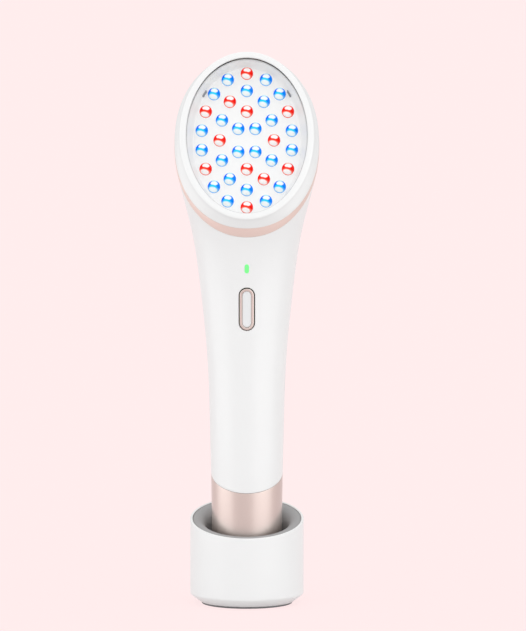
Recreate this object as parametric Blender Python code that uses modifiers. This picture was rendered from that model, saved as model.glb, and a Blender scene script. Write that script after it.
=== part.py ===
"""Acne light therapy device standing in its charging base.

A hand-held light head on a round handle, and the small slanted cup that charges it. Metres, +Z up.
The foot of the base is at z = 0, the handle's axis is x = y = 0, and the light window faces -Y.
"""
import math

import bmesh
import bpy
import numpy as np
from mathutils import Matrix

MM = 0.001

# Clearances and small sizes that many pieces share
GAP = 0.3 * MM
OVERRUN = 2.0 * MM
WELD_DISTANCE = 0.001 * MM
TURNED_WELD_DISTANCE = 0.01 * MM
ROUND_STEPS = 36
FINE_STEPS = 40
SMALL_STEPS = 10
TOOL_TURN = math.radians(7.0)

# Rose gold band and the end of the handle
HANDLE_RADIUS = 14.7 * MM
BAND_TAPER = 0.45 * MM
BAND_WALL = 1.2 * MM
SEAM_HEIGHT = 54.0 * MM
SEAM_SLANT = math.radians(25.4)
CAP_HEIGHT = 4.5 * MM
SEAL_SECTION_RADIUS = 0.45 * MM
SEAL_STEPS = 22
PAD_RADIUS = 2.0 * MM
PAD_HEIGHT = 3.2 * MM
PAD_STEPS = 16
WIRE_RADIUS = 0.6 * MM
WIRE_POINTS = 22
# Height of a place on a charging wire, and how far it has gone from the pads to the board
WIRE_RISE_SHARES = (0.0, 0.06, 0.22, 0.42, 0.60, 0.80, 1.0)
WIRE_REACH_SHARES = (0.0, 0.0, 0.12, 0.62, 0.96, 1.0, 1.0)

# Charging base, outside: its cup takes the handle with play all round
CUP_PLAY = 2.1 * MM
CUP_WALL = 1.5 * MM
CUP_TO_SHELL = 2.8 * MM
BASE_WALL = 2.0 * MM
CUP_RADIUS = HANDLE_RADIUS + CUP_PLAY
BASE_RADIUS = CUP_RADIUS + CUP_WALL + CUP_TO_SHELL + BASE_WALL
BASE_CHAMFER_WIDTH = 4.0 * MM
BASE_CHAMFER_TOP = 3.9 * MM
BASE_RIM_HEIGHT = 35.1 * MM
BASE_RIM_SLANT = math.radians(13.7)
BASE_LIP = 0.8 * MM
BASE_REBATE = 1.9 * MM
BASE_EDGE_RADIUS = BASE_RADIUS - BASE_CHAMFER_WIDTH
# How far in and down each ring of the rounded lip lies, as shares of half its width
LIP_SHARES = ((0.0, 1.0), (0.3, 0.3), (1.0, 0.0))
LIP_INNER_DROP_SHARE = 0.5
FOOT_INSET = 0.5 * MM
FOOT_RADIUS = BASE_EDGE_RADIUS - FOOT_INSET
FOOT_HEIGHT = 0.7 * MM
PLATE_INSET = 1.8 * MM
PLATE_RADIUS = BASE_EDGE_RADIUS - PLATE_INSET
PLATE_THICKNESS = 2.0 * MM
LEDGE_WIDTH = 1.6 * MM
LEDGE_HEIGHT = 1.5 * MM

# Charging base, inside
CUP_FLOOR_THICKNESS = 1.5 * MM
CUP_ROLL_DROP = 1.2 * MM
# How far the liner's rolled rim has gone outwards, and how far it lies below the lip
ROLL_REACH_SHARES = (0.0, 0.03, 0.12, 0.30, 0.60, 1.0)
ROLL_DROP_SHARES = (1.5, 1.05, 0.72, 0.50, 0.40, 0.50)
BALLAST_CLEARANCE = 1.6 * MM
BALLAST_RADIUS = BASE_RADIUS - BASE_WALL - BALLAST_CLEARANCE
BALLAST_THICKNESS = 3.0 * MM
SOCKET_WIDTH = 8.8 * MM
SOCKET_LENGTH = 7.0 * MM
SOCKET_HEIGHT = 3.2 * MM
SOCKET_WALL = 0.5 * MM
SOCKET_RECESS = 0.8 * MM
SOCKET_TONGUE_WIDTH = 5.8 * MM
SOCKET_TONGUE_THICKNESS = 0.7 * MM
CHARGE_BOARD_SIDE_CLEARANCE = 0.4 * MM
CHARGE_BOARD_FRONT_CLEARANCE = 2.0 * MM
CHARGE_BOARD_BACK_CLEARANCE = 2.7 * MM
CHARGE_BOARD_THICKNESS = 1.2 * MM
POST_RADIUS = 2.5 * MM
POST_INSET = 0.8 * MM
POST_CIRCLE_RADIUS = CUP_RADIUS - POST_RADIUS - POST_INSET
POST_COUNT = 3
BASE_SCREW_RADIUS = 1.0 * MM
BASE_SCREW_HEAD_RADIUS = 1.9 * MM
BASE_SCREW_HEAD_HEIGHT = 0.9 * MM
BASE_SCREW_LENGTH = 7.0 * MM

# Sprung charging pins
PIN_SPACING = 10.0 * MM
PIN_RADIUS = 1.0 * MM
PIN_POINT_SHARES = (0.6, 0.4)
PIN_COLLAR_RADIUS = 1.7 * MM
PIN_COLLAR_HEIGHT = 1.0 * MM
PIN_TAIL_RADIUS = 0.6 * MM
PIN_TAIL_LENGTH = 2.7 * MM
SPRING_RADIUS = 1.2 * MM
SPRING_WIRE_RADIUS = 0.2 * MM
SPRING_LENGTH = 3.8 * MM
SPRING_TURNS = 4
SPRING_POINTS_PER_TURN = 8

# Light head: the face plane and the ovals that lie at set depths behind it
FACE_TILT = math.radians(25.0)
FACE_CENTRE_Y = -12.3 * MM
FACE_CENTRE_Z = 194.2 * MM
WINDOW_HALF_WIDTH = 24.8 * MM
WINDOW_HALF_HEIGHT = 33.7 * MM
RIM_WIDTH = 2.5 * MM
RIM_ROUNDING = 0.5 * MM
RIM_CORNER_SHARE = 0.3
LIP_DEPTH = 1.5 * MM
BEZEL_WALL = 1.0 * MM
BEZEL_SIDE_GAIN = 2.2 * MM
BEZEL_END_GAIN = 1.0 * MM
# Depth and width of the bezel's barrel side, from the rim to the gold ring
BARREL_SHARES = ((0.04, 0.0), (0.13, 0.35), (0.33, 0.70), (0.66, 0.95))
RING_TOP_DEPTH = 3.9 * MM
RING_HEIGHT = 4.0 * MM
RING_HALF_WIDTH = WINDOW_HALF_WIDTH + RIM_WIDTH + BEZEL_SIDE_GAIN
RING_TOP_HALF_HEIGHT = WINDOW_HALF_HEIGHT + RIM_WIDTH + BEZEL_END_GAIN
RING_TOP_DROP = 1.8 * MM
RING_TOP_POWER = 2.15
RING_LOW_GAIN = 1.2 * MM
RING_LOW_HALF_HEIGHT = RING_TOP_HALF_HEIGHT + RING_LOW_GAIN
RING_LOW_DROP = 3.05 * MM
RING_LOW_POWER = 2.05
RING_WALL = 1.1 * MM
RING_BULGE = 0.15 * MM

# White casing of handle and head
CASE_WALL = 1.8 * MM
CASE_STATIONS = 18
CASE_HALF_STEPS = 16
CASE_TANGENT_SHARE = 0.002
# Handles of the two Bezier lines that draw the side view: up from the seam, back from the ring
FRONT_LOW_PULL = 73.0 * MM
FRONT_TOP_PULL = (5.4 * MM, -10.7 * MM)
BACK_LOW_PULL = 45.0 * MM
BACK_TOP_PULL = (17.0 * MM, -5.0 * MM)
# Height of a place on the handle's centre line, and how much of the flare is reached there
FLARE_HEIGHT_SHARES = (0.0, 0.08, 0.257, 0.369, 0.546, 0.704, 0.768, 0.827, 0.889, 1.0)
FLARE_WIDTH_SHARES = (0.0, 0.02, 0.06, 0.112, 0.265, 0.44, 0.535, 0.64, 0.765, 1.0)

# Tray, lamps and their board
TRAY_DEPTH = 8.0 * MM
TRAY_SIDE_SLOPE = 2.6 * MM
TRAY_END_SLOPE = 1.7 * MM
TRAY_HALF_WIDTH = WINDOW_HALF_WIDTH - TRAY_SIDE_SLOPE
TRAY_HALF_HEIGHT = WINDOW_HALF_HEIGHT - TRAY_END_SLOPE
TRAY_SETBACK = 0.1 * MM
TRAY_WALL = 0.8 * MM
TRAY_PLATE_THICKNESS = 1.2 * MM
LAMP_RADIUS = 2.45 * MM
LAMP_CENTRE_DEPTH = 6.5 * MM
LAMP_BODY_LENGTH = 3.5 * MM
LAMP_HOLE_RADIUS = LAMP_RADIUS + GAP
LAMP_STUB_RADIUS = 0.8 * MM
LAMP_LEAD_RADIUS = 0.35 * MM
LAMP_LEAD_OFFSET = 1.5 * MM
LAMP_STEPS = 8
LAMP_DOME_ROWS = 2
LEAD_STEPS = 6
BUS_RADIUS = 0.35 * MM
BUS_CLEARANCE = 0.4 * MM
BUS_SINK_SHARE = 0.4
BUS_POINTS = 20
OUTER_LAMP_COUNT = 18
OUTER_LAMP_SIDE_INSET = 3.6 * MM
OUTER_LAMP_END_INSET = 3.0 * MM
OUTER_LAMPS = (TRAY_HALF_WIDTH - OUTER_LAMP_SIDE_INSET, TRAY_HALF_HEIGHT - OUTER_LAMP_END_INSET)
# The smaller lamp rings, in width and height, as shares of the outer one
MIDDLE_LAMP_COUNT = 12
MIDDLE_LAMP_SHARES = (0.597, 0.741)
INNER_LAMP_SHARES = (0.2054, 0.431)
INNER_LAMP_ANGLE = math.radians(66.4)
LED_BOARD_MARGIN = 1.4 * MM
LED_BOARD_HALF_WIDTH = TRAY_HALF_WIDTH + LED_BOARD_MARGIN
LED_BOARD_HALF_HEIGHT = TRAY_HALF_HEIGHT - TRAY_WALL
LED_BOARD_THICKNESS = 1.2 * MM
HEAD_POST_RADIUS = 1.8 * MM
HEAD_POST_SHARES = (0.5225, 0.4375)
HEAD_SCREW_RADIUS = 0.6 * MM
HEAD_SCREW_HEAD_RADIUS = 1.4 * MM
HEAD_SCREW_LENGTH = 3.6 * MM
CLIP_LENGTH = 3.2 * MM
CLIP_THICKNESS = 0.8 * MM
CLIP_ANGLE = math.radians(50.5)
CLIP_RISE = 1.6 * MM

# Button, indicator and what lies behind them
INDICATOR_BELOW_RING = 13.3 * MM
BUTTON_BELOW_INDICATOR = 16.8 * MM
BUTTON_CUT_WIDTH = 6.6 * MM
BUTTON_CUT_LENGTH = 18.0 * MM
BUTTON_RING_WIDTH = 0.95 * MM
BUTTON_RING_PROUD = 0.25 * MM
BUTTON_PAD_SUNK = 0.15 * MM
BUTTON_FLANGE = 0.7 * MM
BUTTON_FLANGE_THICKNESS = 0.6 * MM
BUTTON_TRAVEL = 0.5 * MM
PLUNGER_RADIUS = 1.0 * MM
PLUNGER_REACH = 0.7 * MM
SWITCH_SIDE = 5.2 * MM
SWITCH_HEIGHT = 2.0 * MM
INDICATOR_WIDTH = 1.85 * MM
INDICATOR_LENGTH = 3.9 * MM
INDICATOR_PROUD = 0.1 * MM
INDICATOR_LAMP_WIDTH = 2.0 * MM
INDICATOR_LAMP_DEPTH = 1.2 * MM
INDICATOR_LAMP_HEIGHT = 1.6 * MM
CONTROL_BOARD_SIDE_INSET = 8.2 * MM
CONTROL_BOARD_WIDTH = 2 * (HANDLE_RADIUS - CONTROL_BOARD_SIDE_INSET)
CONTROL_BOARD_THICKNESS = 1.2 * MM
BUTTON_TO_BOARD = 6.4 * MM
CONTROL_BOARD_LIFT = 18.0 * MM
CONTROL_BOARD_OVER_INDICATOR = 6.1 * MM
BOARD_SCREW_RADIUS = 0.8 * MM
BOARD_SCREW_HEAD_RADIUS = 1.5 * MM
BOARD_SCREW_LENGTH = 2.6 * MM
BOARD_SCREW_SIDE_INSET = 2.0 * MM
BOARD_SCREW_END_INSET = 4.0 * MM

# Chassis and battery in the handle
CHASSIS_INSET = 6.1 * MM
CHASSIS_WIDTH = 2 * (HANDLE_RADIUS - CHASSIS_INSET)
CHASSIS_PLATE = 2.0 * MM
CHASSIS_OVER_SEAM = 8.0 * MM
CHASSIS_UNDER_BOARD_TOP = 2.0 * MM
CHASSIS_WALL = 2.0 * MM
CHASSIS_WALL_REACH = 9.0 * MM
BATTERY_INSET = 5.6 * MM
BATTERY_RADIUS = HANDLE_RADIUS - BATTERY_INSET
BATTERY_FOOT_CLEARANCE = 6.0 * MM
BATTERY_TOP_CLEARANCE = 11.0 * MM
BATTERY_CENTRE_Y = 3.4 * MM
BATTERY_TIP_RADIUS = 3.0 * MM
BATTERY_TIP_HEIGHT = 1.0 * MM
BATTERY_EDGE = 0.8 * MM
BATTERY_STEPS = 24

# Cable from the control board to the lamp board: it leaves upwards and arrives square to the board
CABLE_RADIUS = 0.8 * MM
CABLE_MEETS_BOARD = 24.0 * MM
CABLE_REACH = 3.2 * MM
CABLE_RISE_SHARES = (0.0, 0.12, 0.40, 0.70)
CABLE_FORWARD_SHARES = (0.0, 0.0, 0.5)
CABLE_NEAR_SHARE = 0.15
CABLE_POINTS = 18

for old_object in list(bpy.data.objects):
    bpy.data.objects.remove(old_object, do_unlink=True)

parts = bpy.data.collections.new("acne_light_therapy_device")
cutters = bpy.data.collections.new("cutters")
bpy.context.scene.collection.children.link(parts)
bpy.context.scene.collection.children.link(cutters)


def material(name, colour, roughness, metallic=0.0, emission=0.0):
    """A Principled material with the piece's colour, gloss and metal value."""
    finish = bpy.data.materials.new(name)
    finish.use_nodes = True
    shader = finish.node_tree.nodes["Principled BSDF"]
    shader.inputs["Base Color"].default_value = (*colour, 1.0)
    shader.inputs["Roughness"].default_value = roughness
    shader.inputs["Metallic"].default_value = metallic
    if emission:
        shader.inputs["Emission Color"].default_value = (*colour, 1.0)
        shader.inputs["Emission Strength"].default_value = emission
    return finish


def place(name, mesh, finish, frame=None):
    """Make a part of a mesh, in the parts collection, carried by an empty if one is given."""
    part = bpy.data.objects.new(name, mesh)
    parts.objects.link(part)
    mesh.materials.append(finish)
    if frame is not None:
        part.parent = frame
    return part


def frame_at(name, location, tilt):
    """An empty at a place, turned about X, that carries the pieces of one region."""
    empty = bpy.data.objects.new(name, None)
    parts.objects.link(empty)
    empty.location = location
    empty.rotation_euler = (tilt, 0.0, 0.0)
    return empty


def loft(name, rings, hollow=True):
    """Join rings of points side to side. A hollow loft closes on its first ring, else it is capped."""
    shape = bmesh.new()
    rows = [[shape.verts.new(point) for point in ring] for ring in rings]
    pairs = list(zip(rows, rows[1:]))
    if hollow:
        pairs.append((rows[-1], rows[0]))
    for low, high in pairs:
        for here, (a, b) in enumerate(zip(low, low[1:] + low[:1])):
            after = (here + 1) % len(low)
            shape.faces.new((a, b, high[after], high[here]))
    if not hollow:
        shape.faces.new(rows[0][::-1])
        shape.faces.new(rows[-1])
    bmesh.ops.recalc_face_normals(shape, faces=shape.faces)
    mesh = bpy.data.meshes.new(name)
    shape.to_mesh(mesh)
    shape.free()
    mesh.shade_smooth()
    mesh.set_sharp_from_angle(angle=math.radians(35))
    return mesh


def turned(name, profile, steps, finish, location=(0.0, 0.0, 0.0), frame=None):
    """Turn a profile of (radius, height) points, listed from its top down its outer side."""
    mesh = bpy.data.meshes.new(name)
    mesh.from_pydata([(radius, 0.0, height) for radius, height in profile],
                     [(i, i + 1) for i in range(len(profile) - 1)], [])
    part = place(name, mesh, finish, frame)
    part.location = location
    screw = part.modifiers.new("turn", "SCREW")
    screw.steps = steps
    screw.render_steps = steps
    screw.use_merge_vertices = True
    screw.merge_threshold = TURNED_WELD_DISTANCE
    screw.use_smooth_shade = False
    return part


def box(name, low, high, finish, frame=None):
    """A box between two corners, from the cube primitive."""
    shape = bmesh.new()
    bmesh.ops.create_cube(shape, size=1.0)
    size = [b - a for a, b in zip(low, high)]
    middle = [(a + b) / 2 for a, b in zip(low, high)]
    bmesh.ops.scale(shape, vec=size, verts=shape.verts)
    bmesh.ops.translate(shape, vec=middle, verts=shape.verts)
    mesh = bpy.data.meshes.new(name)
    shape.to_mesh(mesh)
    shape.free()
    return place(name, mesh, finish, frame)


def stadium(width, length, steps=8):
    """Outline of a slot with round ends, standing along Y."""
    radius = width / 2
    straight = length / 2 - radius
    top = [(radius * math.cos(turn), straight + radius * math.sin(turn))
           for turn in np.linspace(0, math.pi, steps + 1)]
    return top + [(-x, -y) for x, y in top]


def oval(half_width, half_height, steps, power=2.0):
    """Outline of an ellipse, or of a fuller superellipse where the power is over 2."""
    turns = np.linspace(0, math.tau, steps, endpoint=False)
    cosines, sines = np.cos(turns), np.sin(turns)
    x = half_width * np.sign(cosines) * np.abs(cosines) ** (2 / power)
    y = half_height * np.sign(sines) * np.abs(sines) ** (2 / power)
    return np.stack([x, y], axis=1)


def prism(name, outline, low, high, finish, frame=None, holes=()):
    """A flat outline, with any holes, given its thickness between two heights."""
    curve = bpy.data.curves.new(name, "CURVE")
    curve.dimensions = "2D"
    curve.fill_mode = "BOTH"
    curve.extrude = (high - low) / 2
    for points in (outline, *holes):
        spline = curve.splines.new("POLY")
        spline.points.add(len(points) - 1)
        for point, (x, y) in zip(spline.points, points):
            point.co = (x, y, 0.0, 1.0)
        spline.use_cyclic_u = True
    drawn = bpy.data.objects.new(name + "_outline", curve)
    parts.objects.link(drawn)
    mesh = meshed(drawn)
    mesh.transform(Matrix.Translation((0.0, 0.0, (low + high) / 2)))
    return place(name, mesh, finish, frame)


def meshed(drawn):
    """The mesh of a curve object, welded, with the curve itself removed."""
    bpy.context.view_layer.update()
    evaluated = drawn.evaluated_get(bpy.context.evaluated_depsgraph_get())
    mesh = bpy.data.meshes.new_from_object(evaluated)
    shape = bmesh.new()
    shape.from_mesh(mesh)
    bmesh.ops.remove_doubles(shape, verts=shape.verts, dist=WELD_DISTANCE)
    bmesh.ops.recalc_face_normals(shape, faces=shape.faces)
    shape.to_mesh(mesh)
    shape.free()
    curve = drawn.data
    bpy.data.objects.remove(drawn)
    bpy.data.curves.remove(curve)
    mesh.materials.clear()
    return mesh


def wire(name, points, radius, finish, resolution=2, closed=False, frame=None):
    """A round wire along points, with flat ends, or closed on itself."""
    curve = bpy.data.curves.new(name, "CURVE")
    curve.dimensions = "3D"
    curve.bevel_depth = radius
    curve.bevel_resolution = resolution
    curve.use_fill_caps = not closed
    spline = curve.splines.new("POLY")
    spline.points.add(len(points) - 1)
    for point, place_on_it in zip(spline.points, points):
        point.co = (*place_on_it, 1.0)
    spline.use_cyclic_u = closed
    drawn = bpy.data.objects.new(name + "_line", curve)
    parts.objects.link(drawn)
    return place(name, meshed(drawn), finish, frame)


def smooth_route(points, count):
    """Points evenly spaced in parameter on a Catmull-Rom curve through the route's own points."""
    knots = np.array([points[0], *points, points[-1]], dtype=float)
    line = []
    for t in np.linspace(0, len(points) - 1, count):
        i = min(int(t), len(points) - 2)
        u = t - i
        a, b, c, d = knots[i:i + 4]
        line.append(0.5 * (2 * b + (c - a) * u + (2 * a - 5 * b + 4 * c - d) * u ** 2
                           + (3 * b - a - 3 * c + d) * u ** 3))
    return line


def as_tool(tool):
    """Move an object to the cutters, where it shapes other pieces and isn't built itself."""
    parts.objects.unlink(tool)
    cutters.objects.link(tool)
    tool.hide_render = True
    tool.display_type = "WIRE"
    return tool


def shape_with(part, tool, operation):
    """Cut a part with a tool, or join the tool to it."""
    step = part.modifiers.new(tool.name, "BOOLEAN")
    step.operation = operation
    step.object = tool
    step.solver = "EXACT"


def rods(name, places, radius, low, high, frame=None, steps=SMALL_STEPS):
    """Round rods at several places, as one tool. They are turned a little off the part's own lines."""
    shape = bmesh.new()
    for x, y in places:
        made = bmesh.ops.create_cone(shape, cap_ends=True, segments=steps, radius1=radius,
                                     radius2=radius, depth=high - low,
                                     matrix=Matrix.Rotation(TOOL_TURN, 4, "Z"))
        bmesh.ops.translate(shape, vec=(x, y, (low + high) / 2), verts=made["verts"])
    mesh = bpy.data.meshes.new(name)
    shape.to_mesh(mesh)
    shape.free()
    return as_tool(place(name, mesh, tool_finish, frame))


tool_finish = material("tool", (0.5, 0.5, 0.5), 0.5)
white_shell = material("white_shell", (0.90, 0.90, 0.90), 0.35)
white_tray = material("white_tray", (0.86, 0.86, 0.87), 0.45)
grey_liner = material("grey_liner", (0.32, 0.32, 0.32), 0.6)
rose_gold = material("rose_gold", (0.80, 0.60, 0.53), 0.28, 1.0)
foot_rubber = material("foot_rubber", (0.09, 0.09, 0.09), 0.8)
cover_plastic = material("cover_plastic", (0.70, 0.70, 0.70), 0.5)
steel = material("steel", (0.55, 0.55, 0.56), 0.35, 1.0)
board_green = material("board_green", (0.03, 0.20, 0.08), 0.5)
gold_contact = material("gold_contact", (0.85, 0.62, 0.25), 0.25, 1.0)
lamp_blue = material("lamp_blue", (0.0, 0.10, 1.0), 0.1, 0.0, 1.0)
lamp_red = material("lamp_red", (1.0, 0.02, 0.01), 0.1, 0.0, 1.0)
lamp_green = material("lamp_green", (0.20, 1.0, 0.28), 0.3, 0.0, 0.6)
button_grey = material("button_grey", (0.78, 0.79, 0.80), 0.45)
battery_wrap = material("battery_wrap", (0.06, 0.16, 0.40), 0.4)
frame_plastic = material("frame_plastic", (0.20, 0.20, 0.21), 0.6)
cable_black = material("cable_black", (0.03, 0.03, 0.03), 0.6)
clip_grey = material("clip_grey", (0.35, 0.37, 0.40), 0.4)

# Heights of the stack inside the base, from the table up
shell_low = FOOT_HEIGHT + GAP
plate_top = shell_low + PLATE_THICKNESS
ledge_low = plate_top + GAP
ballast_low = ledge_low + LEDGE_HEIGHT + GAP
socket_low = ballast_low + BALLAST_THICKNESS + GAP
charge_board_low = socket_low + SOCKET_HEIGHT + GAP
charge_board_top = charge_board_low + CHARGE_BOARD_THICKNESS
spring_low = charge_board_top + GAP
collar_low = spring_low + SPRING_LENGTH + GAP
floor_low = collar_low + PIN_COLLAR_HEIGHT + GAP
floor_top = floor_low + CUP_FLOOR_THICKNESS
device_low = floor_top + GAP
base_inner_radius = BASE_RADIUS - BASE_WALL
base_lip_inner_radius = BASE_RADIUS - BASE_LIP
seat_radius = PLATE_RADIUS + GAP


def cup_ring(radius, height, slanted=True):
    """A circle of the base, level, or lying in a plane parallel to the slanted rim."""
    turns = np.linspace(0, math.tau, ROUND_STEPS, endpoint=False)
    x, y = radius * np.cos(turns), radius * np.sin(turns)
    z = height + y * math.tan(BASE_RIM_SLANT) * (1.0 if slanted else 0.0)
    return np.stack([x, y, z], axis=1)


# Base shell: chamfered foot edge, slanted rounded lip, rebate for the liner, ledge for the plate
lip_rise = BASE_LIP / 2
inner_lip_height = BASE_RIM_HEIGHT - lip_rise * LIP_INNER_DROP_SHARE
shell_mesh = loft("base_shell", [
    cup_ring(BASE_EDGE_RADIUS, shell_low, False),
    cup_ring(BASE_RADIUS, BASE_CHAMFER_TOP, False),
    *[cup_ring(BASE_RADIUS - lip_rise * inwards, BASE_RIM_HEIGHT - lip_rise * down)
      for inwards, down in LIP_SHARES],
    cup_ring(base_lip_inner_radius, inner_lip_height),
    cup_ring(base_lip_inner_radius, BASE_RIM_HEIGHT - BASE_REBATE),
    cup_ring(base_inner_radius, BASE_RIM_HEIGHT - BASE_REBATE),
    cup_ring(base_inner_radius, ledge_low + LEDGE_HEIGHT, False),
    cup_ring(seat_radius - LEDGE_WIDTH, ledge_low + LEDGE_HEIGHT, False),
    cup_ring(seat_radius - LEDGE_WIDTH, ledge_low, False),
    cup_ring(seat_radius, ledge_low, False),
    cup_ring(seat_radius, shell_low, False),
])
base_shell = place("base_shell", shell_mesh, white_shell)

socket_mouth = math.sqrt(BASE_RADIUS ** 2 - (SOCKET_WIDTH / 2) ** 2) - SOCKET_RECESS
socket_middle_z = socket_low + SOCKET_HEIGHT / 2
socket_window = as_tool(prism(
    "socket_window", stadium(SOCKET_HEIGHT + 2 * GAP, SOCKET_WIDTH + 2 * GAP),
    -OVERRUN, BASE_WALL * 2, tool_finish,
))
socket_window.rotation_euler = (0.0, math.pi / 2, math.pi / 2)
socket_window.location = (0.0, base_inner_radius, socket_middle_z)
shape_with(base_shell, socket_window, "DIFFERENCE")

# Liner: the rim rolls into the cup, three posts under the floor take the base screws
cup_outer_radius = CUP_RADIUS + CUP_WALL
flange_radius = base_lip_inner_radius - GAP
roll_width = flange_radius - CUP_RADIUS
flange_low = BASE_RIM_HEIGHT - BASE_REBATE + GAP
liner_mesh = loft("base_liner", [
    cup_ring(CUP_RADIUS, floor_top, False),
    cup_ring(CUP_RADIUS, flange_low - CUP_ROLL_DROP),
    *[cup_ring(CUP_RADIUS + roll_width * reach, BASE_RIM_HEIGHT - CUP_ROLL_DROP * drop)
      for reach, drop in zip(ROLL_REACH_SHARES, ROLL_DROP_SHARES)],
    cup_ring(flange_radius, flange_low),
    cup_ring(base_inner_radius - GAP, flange_low),
    cup_ring(cup_outer_radius, flange_low - CUP_WALL),
    cup_ring(cup_outer_radius, floor_low, False),
], hollow=False)
base_liner = place("base_liner", liner_mesh, grey_liner)

post_angles = [-math.pi / 2 + i * math.tau / POST_COUNT for i in range(POST_COUNT)]
post_places = [(POST_CIRCLE_RADIUS * math.cos(turn), POST_CIRCLE_RADIUS * math.sin(turn))
               for turn in post_angles]
pin_places = [(-PIN_SPACING / 2, 0.0), (PIN_SPACING / 2, 0.0)]
screw_head_low = shell_low + GAP / 2
screw_head_top = screw_head_low + BASE_SCREW_HEAD_HEIGHT
screw_top = screw_head_top + BASE_SCREW_LENGTH
shape_with(base_liner, rods("liner_posts", post_places, POST_RADIUS, ledge_low,
                            floor_low + CUP_FLOOR_THICKNESS / 2), "UNION")
shape_with(base_liner, rods("liner_bores", post_places, BASE_SCREW_RADIUS + GAP, shell_low,
                            screw_top + GAP), "DIFFERENCE")
shape_with(base_liner, rods("pin_holes", pin_places, PIN_RADIUS + GAP, floor_low - OVERRUN,
                            floor_top + OVERRUN), "DIFFERENCE")

# Bottom plate with sunk holes for the screws, and the rubber foot under it
base_plate = turned("base_plate", [(0.0, plate_top), (PLATE_RADIUS, plate_top),
                                   (PLATE_RADIUS, shell_low), (0.0, shell_low)],
                    ROUND_STEPS, cover_plastic)
shape_with(base_plate, rods("plate_sinks", post_places, BASE_SCREW_HEAD_RADIUS + GAP,
                            shell_low - OVERRUN, screw_head_top + GAP), "DIFFERENCE")
shape_with(base_plate, rods("plate_bores", post_places, BASE_SCREW_RADIUS + GAP,
                            shell_low - OVERRUN, plate_top + OVERRUN), "DIFFERENCE")
turned("base_foot", [(0.0, FOOT_HEIGHT), (FOOT_RADIUS, FOOT_HEIGHT), (FOOT_RADIUS, 0.0), (0.0, 0.0)],
       ROUND_STEPS, foot_rubber)
for i, (x, y) in enumerate(post_places):
    turned(f"base_screw_{i + 1}", [
        (0.0, screw_top), (BASE_SCREW_RADIUS, screw_top), (BASE_SCREW_RADIUS, screw_head_top),
        (BASE_SCREW_HEAD_RADIUS, screw_head_top), (BASE_SCREW_HEAD_RADIUS, screw_head_low),
        (0.0, screw_head_low),
    ], SMALL_STEPS, steel, (x, y, 0.0))

# Steel ballast, held on the shell's ledge, with holes for the liner's posts
ballast_top = ballast_low + BALLAST_THICKNESS
ballast = turned("ballast_weight", [(0.0, ballast_top), (BALLAST_RADIUS, ballast_top),
                                    (BALLAST_RADIUS, ballast_low), (0.0, ballast_low)],
                 ROUND_STEPS, steel)
shape_with(ballast, rods("ballast_holes", post_places, POST_RADIUS + GAP, ballast_low - OVERRUN,
                         ballast_top + OVERRUN), "DIFFERENCE")

# Charge board and the inlet that hangs under its back edge
board_reach = max(x for x, y in post_places) - POST_RADIUS - CHARGE_BOARD_SIDE_CLEARANCE
board_near_y = POST_RADIUS + CHARGE_BOARD_FRONT_CLEARANCE - POST_CIRCLE_RADIUS
board_far_y = base_inner_radius - CHARGE_BOARD_BACK_CLEARANCE
box("charge_board", (-board_reach, board_near_y, charge_board_low),
    (board_reach, board_far_y, charge_board_top), board_green)
socket_frame = frame_at("socket_frame", (0.0, socket_mouth, socket_middle_z), -math.pi / 2)
usb_socket = prism("usb_socket", [(y, x) for x, y in stadium(SOCKET_HEIGHT, SOCKET_WIDTH)],
                   -SOCKET_LENGTH, 0.0, steel, socket_frame)
socket_cavity = as_tool(prism(
    "socket_cavity",
    [(y, x) for x, y in stadium(SOCKET_HEIGHT - 2 * SOCKET_WALL, SOCKET_WIDTH - 2 * SOCKET_WALL)],
    -SOCKET_LENGTH + SOCKET_WALL, OVERRUN, tool_finish, socket_frame,
))
shape_with(usb_socket, socket_cavity, "DIFFERENCE")
socket_tongue = as_tool(box(
    "socket_tongue",
    (-SOCKET_TONGUE_WIDTH / 2, -SOCKET_TONGUE_THICKNESS / 2, -SOCKET_LENGTH + SOCKET_WALL / 2),
    (SOCKET_TONGUE_WIDTH / 2, SOCKET_TONGUE_THICKNESS / 2, -SOCKET_WALL), tool_finish, socket_frame,
))
shape_with(usb_socket, socket_tongue, "UNION")

# Sprung pins: a plunger, a collar under the floor and a tail inside its spring
pad_low = device_low + PIN_COLLAR_HEIGHT
pin_tip = pad_low - GAP
collar_top = collar_low + PIN_COLLAR_HEIGHT
point_radius_share, point_height_share = PIN_POINT_SHARES
for side, (x, y) in zip(("left", "right"), pin_places):
    turned(f"contact_pin_{side}", [
        (0.0, pin_tip), (PIN_RADIUS * point_radius_share, pin_tip),
        (PIN_RADIUS, pin_tip - PIN_RADIUS * point_height_share),
        (PIN_RADIUS, collar_top), (PIN_COLLAR_RADIUS, collar_top), (PIN_COLLAR_RADIUS, collar_low),
        (PIN_TAIL_RADIUS, collar_low), (PIN_TAIL_RADIUS, collar_low - PIN_TAIL_LENGTH),
        (0.0, collar_low - PIN_TAIL_LENGTH),
    ], SMALL_STEPS, gold_contact, (x, y, 0.0))
    coil_low = spring_low + SPRING_WIRE_RADIUS
    coil_rise = SPRING_LENGTH - 2 * SPRING_WIRE_RADIUS
    coil = [(x + SPRING_RADIUS * math.cos(turn), y + SPRING_RADIUS * math.sin(turn),
             coil_low + coil_rise * turn / (math.tau * SPRING_TURNS))
            for turn in np.linspace(0, math.tau * SPRING_TURNS,
                                    SPRING_TURNS * SPRING_POINTS_PER_TURN + 1)]
    wire(f"contact_spring_{side}", coil, SPRING_WIRE_RADIUS, steel, resolution=1)
    print("least gap between the turns of contact spring", side, "in mm:",
          round((coil_rise / SPRING_TURNS - 2 * SPRING_WIRE_RADIUS) / MM, 3))

# Light head: everything in it hangs on an empty at the middle of the window, its Z out of the face
face_frame = frame_at("face_frame", (0.0, FACE_CENTRE_Y, FACE_CENTRE_Z), math.pi / 2 - FACE_TILT)


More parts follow.
